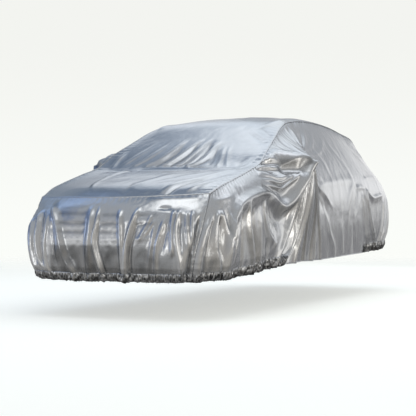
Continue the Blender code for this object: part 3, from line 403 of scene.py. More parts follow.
EDGE_EASE_ALONG = 0.030   # and from its front and rear edges, in metres
FOLD_SHADE = 0.42         # darkest painted shade at the foot of a sharp crease
SHARP_BEND = 110.0        # bend of the cloth there that takes the whole cast, in 1/m

# Painted shade, as soft patches on the front: where the cloth lies against what is under it,
# a shadow line beside the front corner seam and a band low down. Middle and half size in (girth, height),
# then how much darker.
FRONT_PAINTED_SHADE = (
    (-0.270, 0.462, 0.240, 0.122, 0.54),
    (0.115, 0.462, 0.100, 0.122, 0.54),
    (0.410, 0.462, 0.120, 0.118, 0.50),
    (0.610, 0.430, 0.070, 0.090, 0.30),
    (-0.300, 0.884, 0.150, 0.010, 0.16),
    (-0.280, 0.830, 0.150, 0.014, 0.30),
    (-0.270, 0.756, 0.140, 0.016, 0.36),
    (-0.260, 0.688, 0.130, 0.015, 0.38),
    (0.095, 0.818, 0.085, 0.013, 0.26),
    (0.095, 0.750, 0.090, 0.015, 0.36),
    (0.095, 0.688, 0.090, 0.014, 0.36),
    (0.420, 0.818, 0.080, 0.013, 0.24),
    (0.400, 0.748, 0.080, 0.014, 0.30),
    (0.846, 0.480, 0.006, 0.220, 0.45),
    (0.000, 0.345, 1.200, 0.030, 0.22),
)
# Painted shade, the same on both sides: in the hollow under the ridge, between the rolls, high at the front
# and on the rearmost upper part.
SIDE_PAINTED_SHADE = (
    (2.400, 1.264, 0.115, 0.034, 0.46),
    (2.265, 1.264, 0.040, 0.020, 0.26),
    (2.150, 1.302, 0.120, 0.006, 0.26),
    (2.110, 1.250, 0.130, 0.008, 0.36),
    (2.090, 1.198, 0.130, 0.008, 0.34),
    (1.540, 1.005, 0.200, 0.040, 0.30),
    (1.720, 0.998, 0.130, 0.032, 0.36),
    (4.900, 1.330, 0.350, 0.160, 0.10),
)
PAINTED_SHADE_EDGE_ACROSS = 0.030  # width of a patch's soft edge, across and up
PAINTED_SHADE_EDGE_UP = 0.020
PAINTED_SHADE_UNEVEN = 0.35        # share by which chance changes the patches
FRONT_HEM_PAINTED_SHADE = 0.26     # painted shade at the top of the front's ruffled band
HEM_PAINTED_SHADE = 0.42           # and of the others
HEM_FOOT_PAINTED_SHADE = 0.50      # what is added to it at the band's foot
HEM_PATCH_PAINTED_SHADE = 0.60     # and what chance adds or takes


# ------------------------------------------------------------------ what a user may change
class ClothSettings(bpy.types.PropertyGroup):
    """The cloth: a thin woven polyester under a bright satin film."""
    film: bpy.props.StringProperty(
        name="Film colour", default="#D4D6D9", description="sRGB hex colour of the satin film")
    roughness: bpy.props.FloatProperty(
        name="Film roughness", default=0.21, min=0.0, max=1.0, description="0 is a mirror, 1 is chalk")
    metallic: bpy.props.FloatProperty(
        name="Film metallic", default=0.94, min=0.0, max=1.0, description="How metallic the film looks")
    thickness: bpy.props.FloatProperty(
        name="Cloth thickness", default=0.002, unit="LENGTH", description="Thickness of the cloth")
    crinkle: bpy.props.FloatProperty(
        name="Crinkle depth", default=0.0016, unit="LENGTH",
        description="Depth of the film's chance crinkles")
    crease_share: bpy.props.FloatProperty(
        name="Crease depth share", default=1.0, min=0.0, max=1.5, subtype="FACTOR",
        description="Share of the tables' heights that the creases are given")


class SeamSettings(bpy.types.PropertyGroup):
    """The sewn seams: a felled ridge beside a line of dark thread, which is also painted shadow of the
    groove beside the ridge.
    """
    width: bpy.props.FloatProperty(
        name="Seam width", default=0.010, unit="LENGTH", description="Width of the felled ridge")
    height: bpy.props.FloatProperty(
        name="Seam height", default=0.005, unit="LENGTH", description="How far the ridge stands up")
    thread: bpy.props.StringProperty(
        name="Thread colour", default="#565A60", description="sRGB hex colour of the seam's thread")
    thread_width: bpy.props.FloatProperty(
        name="Thread width", default=0.0036, unit="LENGTH",
        description="Width of the stitch line, drawn coarser than real thread so that it shows")
    pucker_depth: bpy.props.FloatProperty(
        name="Pucker depth", default=0.0035, unit="LENGTH", description="Half depth of the seam's puckers")
    pucker_pitch: bpy.props.FloatProperty(
        name="Pucker pitch", default=0.052, unit="LENGTH", description="Distance from pucker to pucker")


class HemSettings(bpy.types.PropertyGroup):
    """The hem: gathered on elastic at the front and rear, plain between."""
    band: bpy.props.FloatProperty(
        name="Gathered band", default=0.080, unit="LENGTH", description="Height of the ruffled band")
    ruffle_depth: bpy.props.FloatProperty(
        name="Ruffle depth", default=0.009, unit="LENGTH", description="Half depth of the ruffles")
    ruffle_pitch: bpy.props.FloatProperty(
        name="Ruffle pitch", default=0.021, unit="LENGTH", description="Distance from ruffle to ruffle")
    tuck_depth: bpy.props.FloatProperty(
        name="Tuck depth", default=0.007, unit="LENGTH", description="Depth of the tucks above the band")
    bead: bpy.props.FloatProperty(
        name="Plain hem bead", default=0.004, unit="LENGTH", description="Radius of the plain hem's bead")


class StageSettings(bpy.types.PropertyGroup):
    """The studio: pale floor, soft light and the camera."""
    floor: bpy.props.StringProperty(
        name="Floor colour", default="#FBFDF9", description="sRGB hex colour of the floor")
    backdrop: bpy.props.StringProperty(
        name="Backdrop colour", default="#F3F4F0", description="sRGB hex colour seen behind the cover")
    softbox: bpy.props.FloatProperty(
        name="Softbox share", default=1.0, min=0.0, description="Share of the softboxes' strength")
    lens: bpy.props.FloatProperty(
        name="Lens", default=100.2, description="Focal length of the camera, in millimetres")


SETTINGS = (
    ("cover_cloth", ClothSettings),
    ("cover_seam", SeamSettings),
    ("cover_hem", HemSettings),
    ("cover_stage", StageSettings),
)


# ------------------------------------------------------------------ curves through a table
def table(rows, names):
    """The rows of a table as one array for each named column."""
    return dict(zip(names, np.array(rows, dtype=float).T))


def curve(stations, values, where):
    """A smooth curve through the values at the stations, read at where: cubic pieces whose slope
    at a station is the mean of its neighbours' slopes, weighted towards the shorter piece."""
    stations = np.asarray(stations, dtype=float)
    values = np.asarray(values, dtype=float)
    steps = np.diff(stations)
    slopes = np.diff(values) / steps
    knots = np.empty(len(stations))
    knots[1:-1] = (slopes[:-1] * steps[1:] + slopes[1:] * steps[:-1]) / (steps[:-1] + steps[1:])
    knots[0] = slopes[0]
    knots[-1] = slopes[-1]
    where = np.clip(where, stations[0], stations[-1])
    piece = np.clip(np.searchsorted(stations, where, side="right") - 1, 0, len(steps) - 1)
    width = steps[piece]
    t = (where - stations[piece]) / width
    start = (2 * t**3 - 3 * t**2 + 1) * values[piece]
    end = (3 * t**2 - 2 * t**3) * values[piece + 1]
    leave = (t**3 - 2 * t**2 + t) * width * knots[piece]
    arrive = (t**3 - t**2) * width * knots[piece + 1]
    return start + end + leave + arrive


TOP = table(TOP_SECTIONS, TOP_COLUMNS)
SKIRT = table(SKIRT_SECTIONS, SKIRT_COLUMNS)
TENT = table(TENT_REACHES, TENT_COLUMNS)
FRONT_EDGE = TOP["edge_y"][0]
REAR_EDGE = TOP["edge_y"][-1]


def top_point(across, along):
    """The top panel before its creases: x is across times the seam's, y runs from the centre
    line's to the seam's with the square of across, and z falls with its power crown."""
    read = {name: curve(TOP["edge_y"], TOP[name], along) for name in TOP_COLUMNS}
    side = np.abs(across)
    x = across * read["edge_x"]
    y = read["mid_y"] + (along - read["mid_y"]) * side**2
    z = read["mid_z"] + (read["edge_z"] - read["mid_z"]) * side**read["crown"]
    return np.stack([x, y, z], axis=-1)


def seam_y(girth):
    """The y on the side seam that the skirt's column at this girth hangs from."""
    side = (SKIRT["girth"] >= FRONT_SEAM) & (SKIRT["girth"] <= REAR_SEAM)
    return curve(SKIRT["girth"][side], SKIRT["rim_y"][side], girth)


def rim_point(girth):
    """The point on the top panel's rim that the skirt's column hangs from, on the left side."""
    from_front = girth / FRONT_SEAM
    from_rear = (REAR_MIDDLE - girth) / (REAR_MIDDLE - REAR_SEAM)
    across = np.clip(np.minimum(from_front, from_rear), 0.0, 1.0)
    return top_point(across, seam_y(girth))


def curve_round(name, girth):
    """One column of the skirt's table as a smooth curve, even about the front's and the rear's
    middle, and odd for x."""
    stations = SKIRT["girth"]
    values = SKIRT[name]
    sign = -1.0 if name.endswith("_x") else 1.0
    before = slice(2, 0, -1)
    after = slice(-2, -4, -1)
    stations = np.concatenate([-stations[before], stations, 2 * REAR_MIDDLE - stations[after]])
    values = np.concatenate([sign * values[before], values, sign * values[after]])
    return curve(stations, values, girth)


def down_curve(levels, drop):
    """The smooth curve through the five level points of each column, read at drop."""
    drops = np.array(LEVEL_DROPS)
    steps = np.diff(drops)
    shape = (-1,) + (1,) * (levels.ndim - 1)
    slopes = np.diff(levels, axis=0) / steps.reshape(shape)
    ahead = steps[1:].reshape(shape)
    behind = steps[:-1].reshape(shape)
    knots = np.empty_like(levels)
    knots[1:-1] = (slopes[:-1] * ahead + slopes[1:] * behind) / (ahead + behind)
    knots[0] = 1.5 * slopes[0] - 0.5 * knots[1]
    knots[-1] = slopes[-1]
    piece = np.clip(np.searchsorted(drops, drop, side="right") - 1, 0, len(steps) - 1)
    width = steps[piece][..., None]
    t = ((drop - drops[piece]) / steps[piece])[..., None]

    def pick(rows, at):
        return np.take_along_axis(rows, at[None, ..., None], axis=0)[0]

    start = (2 * t**3 - 3 * t**2 + 1) * pick(levels, piece)
    end = (3 * t**2 - 2 * t**3) * pick(levels, piece + 1)
    leave = (t**3 - 2 * t**2 + t) * width * pick(knots, piece)
    arrive = (t**3 - t**2) * width * pick(knots, piece + 1)
    return start + end + leave + arrive


def skirt_point(girth, drop):
    """The skirt before its creases: girth is signed, positive on the left, and drop is 0 at the
    rim and 1 at the hem. Each column is the smooth curve down through its five level points."""
    hand = np.sign(girth) + (girth == 0)
    around = np.abs(girth)
    levels = [rim_point(around)]
    for level in ("shoulder", "belt", "sill", "hem"):
        columns = [curve_round(level + "_" + axis, around) for axis in "xyz"]
        levels.append(np.stack(columns, axis=-1))
    points = down_curve(np.stack(levels, axis=0), drop)
    points[..., 0] *= hand
    return points


# ------------------------------------------------------------------ folds, creases and crinkles
def mirror_tent(girth, height):
    """How far a tent stands out from the skirt: MIRROR_PUSH times one less the distance's share of
    the tent's reach on that bearing, to that bearing's power."""
    along = np.abs(girth) - MIRROR_GIRTH
    above = height - MIRROR_HEIGHT
    bearing = np.degrees(np.arctan2(above, along)) % 360.0
    reach = curve(TENT["bearing"], TENT["reach"], bearing)
    power = curve(TENT["bearing"], TENT["power"], bearing)
    away = np.sqrt((np.hypot(along, above) / reach)**2 + TENT_ROUND**2) - TENT_ROUND
    return MIRROR_PUSH * np.clip(1.0 - away, 0.0, 1.0)**power


def slack_corner(girth, drop):
    """How far the right front corner lies in: a bell of the girth, deeper at the hem."""
    bell = np.exp(-((girth - SLACK_GIRTH) / SLACK_HALF_WIDTH)**2)
    return bell * (SLACK_DRAW_IN + SLACK_HEM_DRAW_IN * drop**4)


def crease_line(path):
    """A smooth line through a crease's few points, as LINE_STEPS + 1 points."""
    path = np.array(path, dtype=float)
    length = np.concatenate([[0.0], np.cumsum(np.linalg.norm(np.diff(path, axis=0), axis=1))])
    where = np.linspace(0.0, length[-1], LINE_STEPS + 1)
    return np.stack([curve(length, path[:, 0], where), curve(length, path[:, 1], where)], axis=-1)


def crease_lift(creases, first, second):
    """How far the creases lift the cloth at the places (first, second), in metres.

    A crease's height falls from its line as e to the power of minus the distance over its half
    width. The distance is rounded near the line, so the crest is soft. The half width is less
    by the lean on the line's left hand and more by it on the right.
    """
    lift = np.zeros(np.shape(first))
    for height, start_width, end_width, lean, rise, fall, path in creases:
        line = crease_line(path)
        reach = 0.005 * max(start_width, end_width) * (1.0 + abs(lean))
        near = (first > line[:, 0].min() - reach) & (first < line[:, 0].max() + reach)
        near &= (second > line[:, 1].min() - reach) & (second < line[:, 1].max() + reach)
        u = first[near][:, None]
        v = second[near][:, None]
        run = np.diff(line, axis=0)
        start = line[:-1]
        part = ((u - start[:, 0]) * run[:, 0] + (v - start[:, 1]) * run[:, 1]) / (run**2).sum(axis=1)
        part = np.clip(part, 0.0, 1.0)
        off_u = u - start[:, 0] - part * run[:, 0]
        off_v = v - start[:, 1] - part * run[:, 1]
        away = np.hypot(off_u, off_v)
        nearest = np.argmin(away, axis=1)[:, None]
        share = np.take_along_axis(np.arange(LINE_STEPS) + part, nearest, axis=1)[:, 0] / LINE_STEPS
        side = np.take_along_axis(run[:, 0] * off_v - run[:, 1] * off_u, nearest, axis=1)[:, 0]
        away = np.take_along_axis(away, nearest, axis=1)[:, 0]
        width = 0.001 * (start_width + (end_width - start_width) * share)
        width *= 1.0 - lean * np.tanh(side * LINE_STEPS / (0.001 * start_width))
        distance = np.sqrt((away / width)**2 + CREST_ROUND**2) - CREST_ROUND
        ends = np.clip(share / rise, 0.0, 1.0) * np.clip((1.0 - share) / fall, 0.0, 1.0)
        ends = ends**2 * (3.0 - 2.0 * ends)
        lift[near] += 0.001 * height * ends * np.exp(-distance**1.35)
    return lift


def skirt_creases(girth, height):
    """The lift of the creases of the front and of both sides."""
    return crease_lift(FRONT_CREASES, girth, height) + crease_lift(SIDE_CREASES, np.abs(girth), height)


def from_corner_seams(girth):
    """The girth between a place and the nearest corner seam."""
    around = np.abs(girth)
    return np.minimum(np.abs(around - FRONT_SEAM), np.abs(around - REAR_SEAM))


def gather_share(drop):
    """0 above the gathers, rising evenly to 1 at the hem."""
    return np.clip((drop - GATHER_TOP_DROP) / (1.0 - GATHER_TOP_DROP), 0.0, 1.0)


def chance(first, second, cell_first, cell_second, seed):
    """Chance heights of about -1 to 1 that change smoothly from cell to cell: a random number
    at each corner, joined by a smooth step both ways. The seed makes each run the same."""
    u = (first - first.min()) / cell_first
    v = (second - second.min()) / cell_second
    corners = np.random.default_rng(seed).uniform(-1.0, 1.0, (int(u.max()) + 3, int(v.max()) + 3))
    i = np.floor(u).astype(int)
    j = np.floor(v).astype(int)
    s = (u - i)**2 * (3.0 - 2.0 * (u - i))
    t = (v - j)**2 * (3.0 - 2.0 * (v - j))
    low = corners[i, j] * (1.0 - s) + corners[i + 1, j] * s
    high = corners[i, j + 1] * (1.0 - s) + corners[i + 1, j + 1] * s
    return low * (1.0 - t) + high * t


def gathered(girth):
    """1 where the hem is gathered on its elastic, 0 where it is plain."""
    around = np.abs(girth)
    front = 1.0 / (1.0 + np.exp((around - GATHER_FRONT_END) / GATHER_EASE))
    rear = 1.0 / (1.0 + np.exp((GATHER_REAR_START - around) / GATHER_EASE))
    return front + rear


def facing(points):
    """The unit normals of a grid of points, first axis by second axis."""
    normals = np.cross(np.gradient(points, axis=0), np.gradient(points, axis=1))
    return normals / np.linalg.norm(normals, axis=-1, keepdims=True)


def fold_shade(lift, first, second):
    """Painted shade at the feet of the creases, where the cloth bends inwards: in proportion
    to the bend, which is the sum of the lift's second slopes both ways."""
    bend = np.gradient(np.gradient(lift, first, axis=0), first, axis=0)
    bend += np.gradient(np.gradient(lift, second, axis=1), second, axis=1)
    return FOLD_SHADE * np.clip(bend / SHARP_BEND, 0.0, 1.0)


def skirt_surface(girths, drops):
    """The draped skirt on a grid, with its folds, creases, puckers, tucks and crinkles, and the
    shade at the feet of its creases."""
    cloth = bpy.context.scene.cover_cloth
    seam = bpy.context.scene.cover_seam
    hem = bpy.context.scene.cover_hem
    girth, drop = np.meshgrid(girths, drops, indexing="ij")
    points = skirt_point(girth, drop)
    height = points[..., 2]
    outward = -facing(points)
    seam_distance = from_corner_seams(girth)
    from_rim = np.clip(drop / RIM_EASE, 0.0, 1.0)
    from_seam = np.clip(seam_distance / SEAM_EASE, 0.0, 1.0)
    tent_rim = np.clip(drop / TENT_EASE, 0.0, 1.0)

    creases = skirt_creases(girth, height)
    lift = cloth.crease_share * from_rim * from_seam * creases
    lift -= tent_rim * slack_corner(girth, drop)

    # crinkles: long ones that hang with the cloth and short ones all over
    hanging = chance(girth, drop * COLUMN_LENGTH, 0.060, 0.260, 11)
    short = chance(girth, drop * COLUMN_LENGTH, 0.034, 0.050, 12)
    lift += cloth.crinkle * from_rim * from_seam * ((0.3 + 1.3 * drop) * hanging + 0.55 * short)

    # puckers along the seams, across them
    wave = np.cos(2.0 * np.pi * girth / seam.pucker_pitch + 2.0 * chance(girth, drop, 0.11, 1.0, 13))
    depth = seam.pucker_depth * np.where(np.abs(girth) < FRONT_SEAM, 0.3, 1.0)
    lift += depth * np.exp(-drop * COLUMN_LENGTH / 0.045) * wave * from_seam
    down = np.cos(2.0 * np.pi * height / seam.pucker_pitch + 2.0 * chance(height, drop, 0.13, 1.0, 14))
    lift += 0.3 * seam.pucker_depth * np.exp(-seam_distance / 0.030) * down * from_rim

    # the elastic draws the hem in, with tucks that run up from it
    low = gather_share(drop)
    above_hem = (1.0 - drop) * COLUMN_LENGTH
    tucks = chance(girth, drop, 0.024, 0.400, 15) + 0.6 * chance(girth, drop, 0.013, 0.200, 16)
    lift += gathered(girth) * (hem.tuck_depth * tucks * np.exp(-above_hem / 0.070) - low * HEM_DRAW_IN)

    points = points + lift[..., None] * outward
    points[..., 0] += tent_rim * mirror_tent(girth, height) * np.sign(girth)
    return points, fold_shade(from_rim * creases, girths, drops * COLUMN_LENGTH)


def top_surface(acrosses, alongs):
    """The draped top panel on a grid, with its creases, puckers and crinkles, and the shade at
    the feet of its creases."""
    cloth = bpy.context.scene.cover_cloth
    seam = bpy.context.scene.cover_seam
    across, along = np.meshgrid(acrosses, alongs, indexing="ij")
    points = top_point(across, along)
    upward = facing(points)
    x = points[..., 0]
    y = points[..., 1]
    from_side = (1.0 - np.abs(across)) / EDGE_EASE_ACROSS
    from_end = np.minimum(along - FRONT_EDGE, REAR_EDGE - along) / EDGE_EASE_ALONG
    edge = np.clip(np.minimum(from_side, from_end), 0.0, 1.0)
    lift = cloth.crease_share * crease_lift(TOP_CREASES, x, y)
    shade = fold_shade(edge * lift, acrosses * TOP["edge_x"].mean(), alongs)
    lift += cloth.crinkle * (0.9 * chance(x, y, 0.085, 0.150, 21) + 0.45 * chance(x, y, 0.036, 0.052, 22))
    wave = np.cos(2.0 * np.pi * along / seam.pucker_pitch + 2.0 * chance(x, along, 1.0, 0.11, 23))
    lift += seam.pucker_depth * np.exp(-(1.0 - np.abs(across)) * 0.75 / 0.040) * wave
    ripple = np.cos(2.0 * np.pi * x / seam.pucker_pitch + 2.0 * chance(x, y, 0.12, 1.0, 24))
    lift += 0.2 * seam.pucker_depth * np.exp(-np.abs(along - FRONT_EDGE) / 0.030) * ripple
    return points + (edge * lift)[..., None] * upward, shade


# ------------------------------------------------------------------ meshes and materials
def grounded(points):
    """The points settled by the soft pulls of SETTLES, each a bell of the distance over its
    radii, with heights above the ground turned to heights in the frame."""
    table_rows = np.array(SETTLES)
    settled = points.copy()
    for row in table_rows:
        bell = np.exp(-(((points - row[:3]) / row[3:6])**2).sum(axis=-1))
        settled += bell[..., None] * row[6:9]
    return settled - np.array([0.0, 0.0, ROOF_HEIGHT])


def grid_faces(columns, rows, flip):
    """The quads of a grid of columns by rows of points, facing the other way if flip."""
    index = np.arange(columns * rows).reshape(columns, rows)
    corners = [index[:-1, :-1], index[1:, :-1], index[1:, 1:], index[:-1, 1:]]
    if flip:
        corners.reverse()
    return np.stack(corners, axis=-1).reshape(-1, 4)


def add_piece(name, grids, material, flip=False, painted_shades=None):
    """A mesh of one or more grids of points, shaded smooth, riding on the cover."""
    vertices = []
    faces = []
    count = 0
    for points in grids:
        columns, rows = points.shape[:2]
        faces.append(grid_faces(columns, rows, flip) + count)
        vertices.append(points.reshape(-1, 3))
        count += columns * rows
    mesh = bpy.data.meshes.new(name)
    mesh.from_pydata(np.concatenate(vertices).tolist(), [], np.concatenate(faces).tolist())
    mesh.shade_smooth()
    mesh.materials.append(material)
    # the points carry painted shade, which darkens the film
    if painted_shades is not None:
        painted_shade = mesh.attributes.new("painted_shade", "FLOAT", "POINT")
        painted_shade.data.foreach_set("value", np.concatenate([shade.ravel() for shade in painted_shades]))
    piece = bpy.data.objects.new(name, mesh)
    bpy.context.scene.collection.objects.link(piece)
    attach(piece, "root")
    return piece


def thicken(piece, thickness):
    """Gives a sheet its thickness, outwards from its inner face."""
    solidify = piece.modifiers.new("thickness", "SOLIDIFY")
    solidify.thickness = thickness
    solidify.offset = 1.0


def linear(hex_colour):
    """An sRGB hex colour as linear red, green, blue and alpha."""
    shares = [int(hex_colour[i:i + 2], 16) / 255.0 for i in (1, 3, 5)]
    return tuple(s / 12.92 if s <= 0.04045 else ((s + 0.055) / 1.055)**2.4 for s in shares) + (1.0,)


def add_node(tree, kind, settings=(), values=(), links=()):
    """One node with its settings, its sockets' values and the links into it."""
    node = tree.nodes.new(kind)
    for name, value in dict(settings).items():
        setattr(node, name, value)
    for name, value in dict(values).items():
        node.inputs[name].default_value = value
    for name, source in dict(links).items():
        tree.links.new(source, node.inputs[name])
    return node


def satin_film():
    """Silver satin film on thin woven polyester: a metal-bright skin, brushed by the weave under
    it, so highlights spread into soft bands. Fine crinkles break them up."""
    name = "silver_satin_film"
    if name in bpy.data.materials:
        return bpy.data.materials[name]
    cloth = bpy.context.scene.cover_cloth
    material = bpy.data.materials.new(name)
    material.use_nodes = True
    tree = material.node_tree
    shader = tree.nodes["Principled BSDF"]
    place = add_node(tree, "ShaderNodeTexCoord").outputs["Object"]
    # crinkles about 25 mm and 9 mm across
    coarse = add_node(tree, "ShaderNodeTexNoise", values={"Scale": 1.0 / 0.025, "Detail": 2.0},
                      links={"Vector": place})
    fine = add_node(tree, "ShaderNodeTexNoise", values={"Scale": 1.0 / 0.009, "Detail": 1.0},
                    links={"Vector": place})
    first = add_node(tree, "ShaderNodeBump", values={"Strength": 0.75, "Distance": 0.0011},
                     links={"Height": coarse.outputs["Fac"]})
    second = add_node(tree, "ShaderNodeBump", values={"Strength": 0.40, "Distance": 0.0003},
                      links={"Height": fine.outputs["Fac"], "Normal": first.outputs["Normal"]})
    # painted shade: this attribute darkens the film towards a tenth of its colour at crease feet, in hollows
    # and on the hem
    painted_shade = add_node(tree, "ShaderNodeAttribute", {"attribute_name": "painted_shade"})
    film = linear(cloth.film)
    dark = tuple(0.10 * part for part in film[:3]) + (1.0,)
    colour = add_node(tree, "ShaderNodeMix", {"data_type": "RGBA"}, links={"Factor": painted_shade.outputs["Fac"]})
    colour.inputs["A"].default_value = film
    colour.inputs["B"].default_value = dark
    tree.links.new(colour.outputs["Result"], shader.inputs["Base Color"])
    tree.links.new(second.outputs["Normal"], shader.inputs["Normal"])
    shader.inputs["Metallic"].default_value = cloth.metallic
    shader.inputs["Roughness"].default_value = cloth.roughness
    return material


def thread_and_groove_shadow():
    """Dark grey spun polyester thread, sunk into the seam: dull, with no gloss to speak of. Its line is also
    painted shadow of the groove beside the ridge.
    """
    name = "spun_polyester_thread"
    if name in bpy.data.materials:
        return bpy.data.materials[name]
    material = bpy.data.materials.new(name)
    material.use_nodes = True
    shader = material.node_tree.nodes["Principled BSDF"]
    shader.inputs["Base Color"].default_value = linear(bpy.context.scene.cover_seam.thread)
    shader.inputs["Roughness"].default_value = 0.8
    return material


# ------------------------------------------------------------------ the panels of cloth
def skirt_stations():
    """The girths of the skirt's columns on the left side, from 0 to the middle of the rear."""
    ends = [start for start, step in GIRTH_STEPS[1:]] + [REAR_MIDDLE]
    runs = []
    for (start, step), end in zip(GIRTH_STEPS, ends):
        cells = int(round((end - start) / step))
        runs.append(np.linspace(start, end, cells + 1)[:-1])
    return np.concatenate(runs + [[REAR_MIDDLE]])


def skirt_ring():
    """The whole skirt as one grid, with its signed girths and fold shade, made once and kept."""
    if not hasattr(skirt_ring, "kept"):
        half = skirt_stations()
        girths = np.concatenate([-half[:0:-1], half])
        drops = np.linspace(0.0, 1.0, SKIRT_ROWS + 1)
        skirt_ring.kept = (girths, drops) + skirt_surface(girths, drops)
    return skirt_ring.kept


def painted_shade_patches(patches, girths, drops):
    """Painted shade: a soft-edged box for each of the patches, uneven by chance."""
    girth, drop = np.meshgrid(girths, drops, indexing="ij")
    height = skirt_point(girth, drop)[..., 2]
    painted_shade = np.zeros(girth.shape)
    for mid_girth, mid_height, half_girth, half_height, depth in patches:
        across = np.clip((half_girth - np.abs(girth - mid_girth)) / PAINTED_SHADE_EDGE_ACROSS + 0.5, 0.0, 1.0)
        up = np.clip((half_height - np.abs(height - mid_height)) / PAINTED_SHADE_EDGE_UP + 0.5, 0.0, 1.0)
        painted_shade = np.maximum(painted_shade, depth * across * up)
    uneven = 1.0 + PAINTED_SHADE_UNEVEN * chance(girth, height, 0.050, 0.060, 31)
    return painted_shade * uneven


def skirt_panel(name, first_girth, last_girth, node):
    """One panel of the skirt, from one girth to another, laid on the node of the same place."""
    girths, drops, points, shade = skirt_ring()
    keep = (girths >= first_girth - 1e-6) & (girths <= last_girth + 1e-6)
    if node == "front_panel":
        painted_shades = painted_shade_patches(FRONT_PAINTED_SHADE, girths[keep], drops)
    else:
        painted_shades = painted_shade_patches(SIDE_PAINTED_SHADE, np.abs(girths[keep]), drops)
    painted_shade = np.maximum(shade[keep], painted_shades)
    piece = add_piece(name, [grounded(points[keep])], satin_film(), flip=True, painted_shades=[painted_shade])
    thicken(piece, bpy.context.scene.cover_cloth.thickness)
    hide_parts(node)


class COVER_OT_top_panel(bpy.types.Operator):
    """Lays the long panel over the low front part, the slope and the crown"""
    bl_idname = "cover.top_panel"
    bl_label = "Lay Top Panel"

    def execute(self, context):
        across = np.linspace(-1.0, 1.0, TOP_ACROSS_CELLS + 1)
        along = np.linspace(FRONT_EDGE, REAR_EDGE, TOP_ALONG_CELLS + 1)
        points, painted_shade = top_surface(across, along)
        piece = add_piece("top_panel_cloth", [grounded(points)], satin_film(), painted_shades=[painted_shade])
        thicken(piece, context.scene.cover_cloth.thickness)
        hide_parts("top_panel")
        return {"FINISHED"}


class COVER_OT_front_panel(bpy.types.Operator):
    """Hangs the front panel from the top panel's front edge"""
    bl_idname = "cover.front_panel"
    bl_label = "Hang Front Panel"

    def execute(self, context):
        skirt_panel("front_panel_cloth", -FRONT_SEAM, FRONT_SEAM, "front_panel")
        return {"FINISHED"}


class COVER_OT_side_panels(bpy.types.Operator):
    """Hangs the two side panels from the side seams"""
    bl_idname = "cover.side_panels"
    bl_label = "Hang Side Panels"

    def execute(self, context):
        skirt_panel("left_side_panel_cloth", FRONT_SEAM, REAR_SEAM, "left_side_panel")
        skirt_panel("right_side_panel_cloth", -REAR_SEAM, -FRONT_SEAM, "right_side_panel")
        return {"FINISHED"}


class COVER_OT_rear_panel(bpy.types.Operator):
    """Hangs the rear panel from the top panel's rear edge"""
    bl_idname = "cover.rear_panel"
    bl_label = "Hang Rear Panel"

    def execute(self, context):
        girths, _, points, shade = skirt_ring()
        left = girths >= REAR_SEAM - 1e-6
        right = girths <= -REAR_SEAM + 1e-6
        middle = 0.5 * (points[left][-1] + points[right][0])
        panel = np.concatenate([points[left][:-1], middle[None], points[right][1:]])
        painted_shade = np.concatenate([shade[left], shade[right][1:]])
        piece = add_piece("rear_panel_cloth", [grounded(panel)], satin_film(), flip=True,
                          painted_shades=[painted_shade])
        thicken(piece, context.scene.cover_cloth.thickness)
        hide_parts("rear_panel")
        return {"FINISHED"}


# ------------------------------------------------------------------ seams and hem
# How finely the seams and the plain hem are drawn, and how the stitches draw the ridge in.
SIDE_SEAM_POINTS = 700    # points along a side seam
END_SEAM_POINTS = 240     # and along the front and rear seams
RIDGE_SIDES = 8           # sides of the felled ridge's section, and of the plain hem's bead
THREAD_SIDES = 6
RIDGE_PINCH = 0.28        # share by which the stitches draw the ridge in


def swept_strip(path, outward, profile):
    """A profile carried along a path: each point is the path's, plus the profile's first number
    across it and its second along outward. Across is the path's run crossed with outward."""
    run = np.gradient(path, axis=0)
    run /= np.linalg.norm(run, axis=-1, keepdims=True)
    across = np.cross(run, outward)
    across /= np.linalg.norm(across, axis=-1, keepdims=True)
    wide = profile[..., 0]
    high = profile[..., 1]
    return path[:, None] + wide[..., None] * across[:, None] + high[..., None] * outward[:, None]


def round_profile(count, sides, width, height):
    """A closed oval section, width across and height up, for count places along a path."""
    turn = np.linspace(0.0, 2.0 * np.pi, sides + 1)
    oval = np.stack([-0.5 * width * np.cos(turn), 0.5 * height * np.sin(turn)], axis=-1)
    return np.broadcast_to(oval, (count, sides + 1, 2)).copy()


def outward_at(points):
    """Directions away from the middle of the cover, tilted up, for places on a seam."""
    away = points - np.array([0.0, 0.0, 0.75])
    away[:, 1] *= 0.25
    return away / np.linalg.norm(away, axis=-1, keepdims=True)


def seam_paths():
    """The lines of the seams: left and right side, front, rear and the four corners."""
    left = rim_point(np.linspace(FRONT_SEAM, REAR_SEAM, SIDE_SEAM_POINTS))
    across = np.linspace(-1.0, 1.0, END_SEAM_POINTS)
    front = top_point(across, np.full(END_SEAM_POINTS, FRONT_EDGE))
    rear = top_point(across, np.full(END_SEAM_POINTS, REAR_EDGE))
    paths = {"left_seam": left, "right_seam": left * np.array([-1.0, 1.0, 1.0]),
             "front_seam": front, "rear_seam": rear}
    girths, _, points, _ = skirt_ring()
    corners = (("left_front_seam", FRONT_SEAM), ("right_front_seam", -FRONT_SEAM),
               ("left_rear_seam", REAR_SEAM), ("right_rear_seam", -REAR_SEAM))
    for name, girth in corners:
        paths[name] = points[np.argmin(np.abs(girths - girth))]
    return paths


